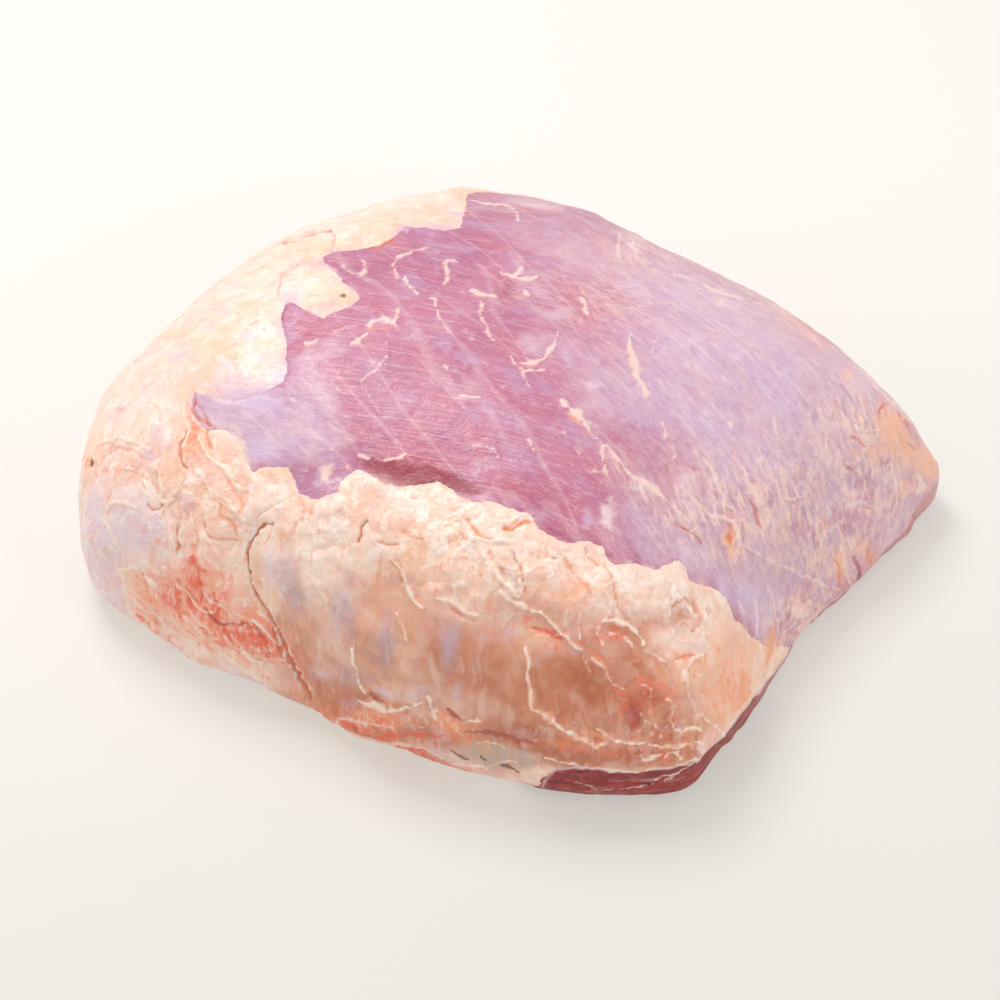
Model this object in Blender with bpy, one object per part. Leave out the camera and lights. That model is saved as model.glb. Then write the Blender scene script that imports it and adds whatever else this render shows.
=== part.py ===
"""A raw beef round: the inside round as one boneless piece, fat cap on, lying on its flat inner side.

It is 400 mm long. +X runs to the thin cut end, +Y to the back and +Z up. A place on the joint is given by
its bearing, in degrees round the crown from +X towards +Y, and its rise: 90 at the crown, 0 at the widest
ring and TUCK at the edge of the flat underside.
"""

import math

import bmesh
import bpy
from mathutils import Vector, noise

# Driving dimensions, in metres
CROWN_HEIGHT = 0.140
CROWN_PLACE = (-0.033, 0.005)
UNDERSIDE_INSET = 0.012
FAT_THICKNESS = 0.005

# Reach of the outline from the crown at the widest ring: bearing, metres
OUTLINE = (
    (0, 0.244), (25, 0.215), (50, 0.190), (75, 0.191), (100, 0.166),
    (125, 0.154), (150, 0.153), (170, 0.162), (190, 0.162), (210, 0.132),
    (235, 0.113), (260, 0.125), (285, 0.149), (310, 0.188), (335, 0.260),
)

# The straight cut that takes off the front right: bearing it faces, its distance, and how far it bows in
CUT_BEARING = -36
CUT_DISTANCE = 0.171
CUT_BOW = 0.005
CUT_BOW_BEARING = 342
CUT_BOW_SPREAD = 15
CUT_CORNER = 0.006
CUT_FACING_LEAST = 0.1

# How square the flank is, from 1.7 for a long slope to 2.7 for a steep wall: bearing, exponent
FLANK = ((0, 1.7), (60, 2.0), (120, 2.3), (180, 2.5), (240, 2.7), (290, 2.7), (320, 2.2))
SHOULDER = 2.1

# Height of the widest ring, low along the thin cut edge: bearing, metres
RING_HEIGHT = ((0, 0.010), (50, 0.020), (110, 0.032), (180, 0.026), (240, 0.024), (285, 0.022), (320, 0.010))

# Upper edge of the fat cap: bearing, rise
FAT_EDGE = (
    (20, -25), (45, 0), (65, 18), (85, 45), (105, 67), (128, 66), (145, 76), (170, 72), (190, 67),
    (205, 48), (229, 47), (243, 56), (262, 58), (288, 59), (297, 53), (306, 46), (317, 37), (322, 24),
    (327, 8), (334, -12), (345, -25),
)
FAT_EDGE_WIDTH = 7.0

# Latitudes on the starting ball: below UNDERSIDE_LATITUDE it becomes the flat underside
TUCK = -30.0
UNDERSIDE_LATITUDE = -50.0
GRID = 29

# Rounded lumps and hollows: bearing, rise, radius and height in metres, hollows below zero
LUMPS = (
    (237, 28, 0.014, 0.0030),
    (249, 24, 0.014, 0.0035),
    (261, 22, 0.015, 0.0035),
    (273, 25, 0.014, 0.0025),
    (150, 72, 0.022, 0.0040),
    (105, 58, 0.024, 0.0035),
    (0, 22, 0.022, 0.0030),
    (205, 24, 0.024, 0.0030),
    (214, 8, 0.018, 0.0025),
    (300, 14, 0.026, 0.0030),
    (292, -9, 0.018, 0.0020),
    (304, -9, 0.018, 0.0015),
    (224, -10, 0.018, 0.0025),
    (175, 30, 0.030, 0.0020),
    (125, 40, 0.028, 0.0025),
    (70, 45, 0.030, -0.0025),
    (193, 50, 0.012, -0.0040),
    (297, 47, 0.008, -0.0030),
    (312, 31, 0.009, -0.0030),
    (42, 76, 0.020, -0.0035),
    (268, 63, 0.020, -0.0025),
    (300, 57, 0.016, -0.0025),
    (352, 22, 0.018, -0.0030),
)

# Creases and ridges of membrane, each a path of bearing and rise: path, half width, height
CREASES = (
    (((223, 36), (223, 28), (226, 21), (230, 16), (234, 11), (242, -3)), 0.0060, -0.0060),
    (((200, 0), (214, -2), (228, 2), (249, -1), (262, 2), (284, 3), (302, 3), (309, 1)), 0.0055, -0.0040),
    (((286, 30), (286, 18), (290, 14), (296, 10), (301, 6)), 0.0055, 0.0035),
    (((253, 16), (255, 7), (261, 6), (268, 10)), 0.0055, 0.0030),
    (((279, 51), (281, 42), (287, 40)), 0.0055, 0.0025),
    (((308, 24), (308, 19), (314, 4)), 0.0055, 0.0030),
    (((357, 40), (347, 29)), 0.0055, 0.0030),
    (((326, 69), (322, 57), (326, 42)), 0.0055, 0.0015),
    (((345, -2), (326, -4), (314, 0)), 0.0050, -0.0025),
)

# Times that the relief is evened out between neighbouring corners
EVENING = 2

# Uneven surface all over: wavelength, height on the fat and on the lean, in metres
UNEVENNESS = ((0.045, 0.0022, 0.0012), (0.019, 0.0012, 0.0004))

# Plain finish of fat and lean together
MEAT_COLOUR = (0.72, 0.38, 0.30, 1.0)
MEAT_ROUGHNESS = 0.45


def around(bearing, table):
    """Value of a closed table of (bearing, value) rows at a bearing, on a smooth curve through the rows."""
    count = len(table)
    turned = (bearing - table[0][0]) % 360
    starts = [(row[0] - table[0][0]) % 360 for row in table] + [360]
    index = max(i for i in range(count) if starts[i] <= turned)
    gaps = [starts[i + 1] - starts[i] for i in range(count)]
    values = [row[1] for row in table]

    def slope(i):
        before, after = gaps[i - 1], gaps[i % count]
        rise_in = (values[i % count] - values[i - 1]) / before
        rise_out = (values[(i + 1) % count] - values[i % count]) / after
        return (rise_in * after + rise_out * before) / (before + after)

    gap = gaps[index]
    t = (turned - starts[index]) / gap
    start, end = values[index], values[(index + 1) % count]
    leave, arrive = slope(index) * gap, slope((index + 1) % count) * gap
    return (
        (2 * t**3 - 3 * t**2 + 1) * start
        + (t**3 - 2 * t**2 + t) * leave
        + (3 * t**2 - 2 * t**3) * end
        + (t**3 - t**2) * arrive
    )


def smooth_step(value):
    t = min(max(value, 0.0), 1.0)
    return t * t * (3 - 2 * t)


def reach(bearing):
    """Distance from the crown to the widest ring: the round outline, cut off straight at the front right."""
    rounded = around(bearing, OUTLINE)
    facing = math.cos(math.radians(bearing - CUT_BEARING))
    if facing < CUT_FACING_LEAST:
        return rounded
    off = (bearing - CUT_BOW_BEARING + 180) % 360 - 180
    straight = CUT_DISTANCE / facing - CUT_BOW * math.exp(-((off / CUT_BOW_SPREAD) ** 2))
    mix = min(max(0.5 + 0.5 * (straight - rounded) / CUT_CORNER, 0.0), 1.0)
    return straight * (1 - mix) + rounded * mix - CUT_CORNER * mix * (1 - mix)


def plain_point(bearing, rise, inward=0.0):
    """Place of a bearing and rise before any relief; inward runs from 0 to 1 across the flat underside."""
    ring_reach = reach(bearing)
    ring_height = around(bearing, RING_HEIGHT)
    if rise >= 0:
        flank = around(bearing, FLANK)
        out = ring_reach * max(math.cos(math.radians(rise)), 0.0) ** (2 / flank)
        up = ring_height + (CROWN_HEIGHT - ring_height) * math.sin(math.radians(rise)) ** (2 / SHOULDER)
    else:
        turn = rise / TUCK * math.pi / 2
        out = ring_reach - UNDERSIDE_INSET * (1 - math.cos(turn))
        up = ring_height * (1 - math.sin(turn))
    out *= 1 - inward
    angle = math.radians(bearing)
    return Vector((CROWN_PLACE[0] + out * math.cos(angle), CROWN_PLACE[1] + out * math.sin(angle), up))


def distance_to_path(point, path):
    """Distance from a point to a path of corners."""
    nearest = math.inf
    for start, end in zip(path, path[1:]):
        run = end - start
        along = min(max((point - start).dot(run) / run.length_squared, 0.0), 1.0)
        nearest = min(nearest, (point - start - run * along).length)
    return nearest


def fat_cover(bearing, rise):
    """0 on the bare lean and 1 on the fat cap, with a short slope between them."""
    edge = around(bearing, FAT_EDGE)
    return smooth_step((edge - rise) / FAT_EDGE_WIDTH)


def relief(point, bearing, rise, lumps, creases):
    """Height of the real surface over the plain one, in metres."""
    cover = fat_cover(bearing, rise)
    height = FAT_THICKNESS * cover
    for centre, radius, lump_height in lumps:
        height += lump_height * math.exp(-(((point - centre).length / radius) ** 2))
    for path, half_width, crease_height in creases:
        height += crease_height * math.exp(-((distance_to_path(point, path) / half_width) ** 2))
    for wavelength, on_fat, on_lean in UNEVENNESS:
        swell = noise.noise(point / wavelength)
        height += swell * (on_lean + (on_fat - on_lean) * cover)
    return height * smooth_step((rise - TUCK) / -TUCK)


def evened(vertex, heights):
    """Mean of a corner's own relief and that of the corners next to it."""
    beside = [heights[edge.other_vert(vertex)] for edge in vertex.link_edges]
    return (heights[vertex] + sum(beside) / len(beside)) / 2


def make_ball():
    """A ball of even squares, as a cube cut into a grid, with each corner's bearing and latitude."""
    ball = bmesh.new()
    bmesh.ops.create_cube(ball, size=2.0)
    bmesh.ops.subdivide_edges(ball, edges=ball.edges[:], cuts=GRID - 1, use_grid_fill=True)
    for vertex in ball.verts:
        vertex.co = Vector([math.tan(side * math.pi / 4) for side in vertex.co]).normalized()
    return ball


def shape_ball(ball):
    """Moves each corner of the ball to its place on the joint."""
    lumps = [(plain_point(bearing, rise), radius, height) for bearing, rise, radius, height in LUMPS]
    creases = [
        ([plain_point(bearing, rise) for bearing, rise in path], half_width, height)
        for path, half_width, height in CREASES
    ]
    places = {}
    for vertex in ball.verts:
        bearing = math.degrees(math.atan2(vertex.co.y, vertex.co.x))
        latitude = math.degrees(math.asin(min(max(vertex.co.z, -1.0), 1.0)))
        above = (latitude - UNDERSIDE_LATITUDE) / (90 - UNDERSIDE_LATITUDE)
        rise = max(TUCK + above * (90 - TUCK), TUCK)
        inward = max(-above * (90 - UNDERSIDE_LATITUDE) / (90 + UNDERSIDE_LATITUDE), 0.0)
        places[vertex] = (bearing, rise)
        vertex.co = plain_point(bearing, rise, inward)
    ball.normal_update()
    heights = {vertex: relief(vertex.co, *place, lumps, creases) for vertex, place in places.items()}
    for _ in range(EVENING):
        heights = {vertex: evened(vertex, heights) for vertex in heights}
    for vertex, height in heights.items():
        vertex.co = vertex.co + vertex.normal * height
        vertex.co.z = max(vertex.co.z, 0.0)


def centre_on_base(ball):
    """Puts the middle of the bounding box over the origin, with the underside at height 0."""
    for axis in (0, 1):
        sides = [vertex.co[axis] for vertex in ball.verts]
        middle = (min(sides) + max(sides)) / 2
        for vertex in ball.verts:
            vertex.co[axis] -= middle


def meat_material():
    material = bpy.data.materials.new("fat_and_lean")
    material.use_nodes = True
    surface = material.node_tree.nodes["Principled BSDF"]
    surface.inputs["Base Color"].default_value = MEAT_COLOUR
    surface.inputs["Roughness"].default_value = MEAT_ROUGHNESS
    surface.inputs["Metallic"].default_value = 0.0
    return material


def make_joint():
    ball = make_ball()
    shape_ball(ball)
    centre_on_base(ball)
    mesh = bpy.data.meshes.new("beef_round")
    ball.to_mesh(mesh)
    ball.free()
    mesh.materials.append(meat_material())
    mesh.shade_smooth()
    collection = bpy.data.collections.new("Beef round")
    bpy.context.scene.collection.children.link(collection)
    collection.objects.link(bpy.data.objects.new("beef_round", mesh))


def clear_scene():
    for leftover in list(bpy.data.objects):
        bpy.data.objects.remove(leftover, do_unlink=True)


clear_scene()
make_joint()
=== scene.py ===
"""A raw beef round as it looks: a body, a lean face, a cut side and a fat cap, each a closed shell on the solid.

Spots are places in the picture, 1000 wide and 1000 high, with y downwards. Everything else is in metres in
the part's own frame.
"""

import math

import bmesh
import bpy
import numpy as np
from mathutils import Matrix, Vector, noise
from mathutils.bvhtree import BVHTree
from mathutils.kdtree import KDTree


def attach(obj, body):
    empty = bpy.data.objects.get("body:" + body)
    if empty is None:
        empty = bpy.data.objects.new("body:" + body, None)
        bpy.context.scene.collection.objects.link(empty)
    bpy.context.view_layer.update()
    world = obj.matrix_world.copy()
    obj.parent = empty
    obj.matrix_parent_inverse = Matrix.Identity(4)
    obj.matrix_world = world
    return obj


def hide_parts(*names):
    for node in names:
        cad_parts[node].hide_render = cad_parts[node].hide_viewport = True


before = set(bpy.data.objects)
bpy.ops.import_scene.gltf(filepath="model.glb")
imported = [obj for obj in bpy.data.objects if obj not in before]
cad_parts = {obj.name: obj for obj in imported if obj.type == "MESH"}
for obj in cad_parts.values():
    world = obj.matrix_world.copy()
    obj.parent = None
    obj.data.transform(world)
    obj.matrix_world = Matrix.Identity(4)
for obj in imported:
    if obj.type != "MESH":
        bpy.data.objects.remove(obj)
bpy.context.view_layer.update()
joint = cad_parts["beef_round"]

# Camera: it looks down from the front
PICTURE = 1000
CAMERA_RISE = math.radians(45)
CAMERA_DISTANCE = 1.35
CAMERA_AIM = np.array([-0.0055, -0.0223, 0.0420])
SPOTS_PER_METRE = 2170.0
SENSOR = 36.0
FOCAL = SPOTS_PER_METRE * CAMERA_DISTANCE
RIGHT = np.array([1.0, 0.0, 0.0])
UP = np.array([0.0, math.sin(CAMERA_RISE), math.cos(CAMERA_RISE)])
AHEAD = np.array([0.0, math.cos(CAMERA_RISE), -math.sin(CAMERA_RISE)])
EYE = CAMERA_AIM - CAMERA_DISTANCE * AHEAD
TO_BEHIND = np.array([1.0, -1.0, 1.0])

COARSE = 0.0019
FINE = 0.00088
LEAN_FINE = 0.00116

# Shells: how deep a rim is capped, how far a shell is kept past its border, and how far it runs under the next
RIM_SINK = 0.0030
OVERLAP = 0.0045
UNDER = 0.0025
# How steeply a shell dives past its border, and how deep
DIVE = 0.8
SUNK = -0.0030
# Lowest height of a shell above the ground, and the height at which its relief starts
LOWEST = 0.0003
SKIRT = 0.0007
# The lean stops this far short of the cut side where the cut side and the fat lie close together
BORDERS_APART = 0.0015
# The body is drawn in under the shells, in full from a height above the ground
BODY_DRAWN_IN = 0.0020
BODY_EASE = 0.006
# Height above the ground from which the shifts below count in full
SHIFT_EASE = 0.003
# How near to 0 the waves of a fold have to come
FOLD_WIDTH = 0.10
# Corners that a smooth path gets for each given one
PATH_STEPS = 4
# A relief of this height above its surroundings counts as a full crest
CAVITY_FULL = 0.0004
# Past its edge the side that the picture shows goes over into the hidden side within this much turn
SEEN_FADE = 0.22

# Borders are filled in with points this far apart for the search, and with so many between two bearings
LINE_STEP = 0.0004
TURN_STEPS = 40
# Elevation of the ring low on the joint that closes a border, and where the cut border starts below the tip
RING = -60
TIP_FOOT = -30

# Strands: their drawn width, their height on the lean, and the height in millimetres from which they get a
# painted shadow on their lower side, with the way to that side, its colour, its width and its depth
STRAND_WIDTH = 0.85
LEAN_STRAND_RISE = 0.55
STANDING = 0.6
SHADOW_SIDE = np.array([0.35, 1.1])
SHADOW_SHARE = 0.45
SHADOW_WIDTH = 0.8
SHADOW_DEPTH = 0.0002

# Middle of the joint, from which bearings and elevations are taken, and the middle of the joint in the picture
MIDDLE = np.array([-0.033, 0.005, 0.030])
MIDDLE_SPOT = np.array([512.0, 500.0])
# A spot off the edge moves in by up to this share of its way to the middle, in so many steps
MOVE_IN = 0.3
MOVE_STEPS = 60

# Where the joint stands out more than the solid, or less: x, y, half width and half height in spots, and metres
SHIFTS = (
    (936, 472, 22, 22, 0.0045), (505, 190, 70, 22, -0.0026), (906, 535, 18, 18, 0.0025), (80, 545, 14, 60, -0.0020),
    (195, 655, 46, 24, 0.0044), (282, 696, 40, 20, 0.0036), (345, 726, 46, 20, 0.0030), (937, 502, 14, 16, 0.0040),
    (712, 758, 22, 22, -0.0018), (785, 665, 14, 18, 0.0028), (600, 214, 40, 10, 0.0015), (390, 200, 30, 10, 0.0012),
)

# Upper border of the fat cap, from the back top over the left to the crest and round the cut side, in spots
FAT_BORDER = (
    (470, 192), (468, 215), (463, 230), (445, 234), (426, 230), (407, 230), (401, 238), (384, 247),
    (357, 253), (334, 255), (326, 259), (338, 270), (345, 282), (361, 290), (365, 299), (353, 309),
    (334, 315), (324, 322), (307, 315), (288, 307), (286, 322), (291, 345), (291, 372), (286, 386),
    (262, 398), (235, 406), (212, 402), (196, 398), (199, 418), (212, 428), (226, 427), (240, 439),
    (247, 455), (254, 471), (264, 466), (289, 464), (295, 477), (303, 494), (318, 497), (336, 492),
    (340, 483), (347, 473), (358, 468), (377, 478), (390, 486), (403, 488), (418, 484), (433, 483),
    (453, 488), (467, 500), (493, 502), (513, 509), (530, 516), (540, 530), (557, 540), (570, 543),
    (587, 539), (602, 547), (610, 560), (617, 564), (637, 563), (655, 571), (663, 564), (677, 560),
    (685, 569), (688, 580), (707, 585), (723, 595), (732, 617), (750, 633), (767, 643), (782, 642),
    (790, 644), (773, 672), (753, 696), (730, 726), (720, 740), (706, 756), (684, 764), (655, 768),
    (620, 770), (598, 768), (574, 766), (557, 768), (547, 778), (544, 794),
)
# The same border where the picture does not show it, as bearing and elevation
FAT_BORDER_BEHIND = ((12, -25), (25, -10), (45, -4), (65, 10), (80, 27))

# Upper edge of the cut side and of the lean flap at the front, in spots
CUT_BORDER = (
    (945, 470), (934, 478), (924, 488), (911, 511), (890, 540), (868, 571), (850, 585), (824, 606),
    (807, 626), (796, 640), (773, 672), (753, 696), (730, 726), (720, 740), (706, 756), (684, 764),
    (655, 768), (620, 770), (598, 768), (574, 766), (557, 768), (547, 778), (544, 794),
)

# The deep crease between the end fat and the front fat, in spots
LEFT_CREASE = (
    (303, 494), (285, 503), (262, 517), (250, 545), (253, 580), (266, 608), (279, 625), (288, 651),
    (300, 675), (314, 697), (322, 712),
)
# Bearing of the seam between the end fat and the back fat
BACK_SEAM = 128.0
# The cut side is paler from here to the right
STRIP_FROM = 0.095
# The small dark hole in the lean near the crest: place and half sizes in spots, and depth
HOLE = (508, 291)
HOLE_SIZE = (13, 9)
HOLE_DEPTH = 0.0014


def rgb(red, green, blue):
    """A colour given as it looks on a screen, from 0 to 255, as light."""
    parts = [value / 255 for value in (red, green, blue)]
    return tuple(p / 12.92 if p <= 0.04045 else ((p + 0.055) / 1.055) ** 2.4 for p in parts) + (1.0,)


# Colours, as they look in even light
CREAM = rgb(246, 218, 204)
PEACH = rgb(246, 204, 178)
APRICOT = rgb(248, 192, 162)
ROSE = rgb(243, 188, 174)
# Terracotta tone of the lower front fat, which also paints the shade that darkens the front wall toward the bottom
TERRA_AND_SHADE = rgb(196, 118, 84)
# Painted shade: tan laid on the low side of the fat's lumps and bumps
TAN_SHADE = rgb(232, 176, 146)
# Darker, redder colour along the foot of the front: partly a redder tone and partly painted shade near the ground
RUST_AND_SHADE = rgb(184, 98, 66)
# Orange-brown tone of the fat, also used for the painted shadow under raised strands
AMBER_AND_SHADE = rgb(238, 158, 116)
SCAR = rgb(214, 112, 76)
BLOOD = rgb(234, 98, 72)
HOT = rgb(248, 142, 110)
# Painted shade: warm orange laid into the hollows of the fat's relief
CREVICE_SHADE = rgb(232, 164, 130)
STRAND = rgb(240, 214, 202)
# Painted shade: dark mauve in the low parts between the torn strands of the lean
TORN_HOLLOW_SHADE = rgb(184, 136, 152)
# Dark red tone, also painted as shadow in the gully under the front flap and beside its fold
DARK_RED_AND_SHADOW = rgb(164, 62, 54)
VEIL = rgb(228, 208, 222)
WALL_VEIL = rgb(184, 154, 164)
STRING = rgb(246, 224, 206)
BROWN = rgb(110, 60, 46)
LEAN = rgb(193, 126, 153)
LEAN_DEEP = rgb(180, 108, 140)
SALMON = rgb(197, 120, 137)
LILAC = rgb(188, 142, 176)
# Red of the lean, also used for painted shade in its hollows
LEAN_RED_AND_SHADE = rgb(190, 94, 114)
# Painted shade: dark red laid on the lean under the fat crest and at a few small spots
PAINTED_LEAN_SHADE = rgb(146, 44, 56)
SILVER = rgb(214, 184, 206)
MAUVE = rgb(200, 162, 170)
BLUISH = rgb(210, 188, 218)
# Pale membrane colour, also used for painted highlight on the lean's crests
MEMBRANE_AND_HIGHLIGHT = rgb(238, 214, 218)
CUT_RED = rgb(146, 48, 42)
CUT_PINK = rgb(174, 68, 60)
CUT_PALE = rgb(232, 182, 182)
CUT_PURPLE = rgb(124, 60, 78)
CUT_DARK = rgb(96, 36, 44)
GREY = rgb(196, 174, 158)
# Painted highlight: near-white laid on the crests and raised lumps of the fat
PAINTED_HIGHLIGHT = rgb(255, 245, 236)
SILVER_WARM = rgb(224, 192, 196)
# Floor colours at the front and back: a painted fall of light; FLOOR_SHADED is the share of the floor that is lit,
# and the rest glows
FLOOR_FRONT = rgb(226, 225, 218)
FLOOR_BACK = rgb(244, 239, 234)
FLOOR_SHADED = 0.5

# Side of the floor, the even light all round, and the point that the lamps shine at
FLOOR_SIZE = 4.0
SKY = 0.61
LIT = (0, 0, 0.05)

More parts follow.
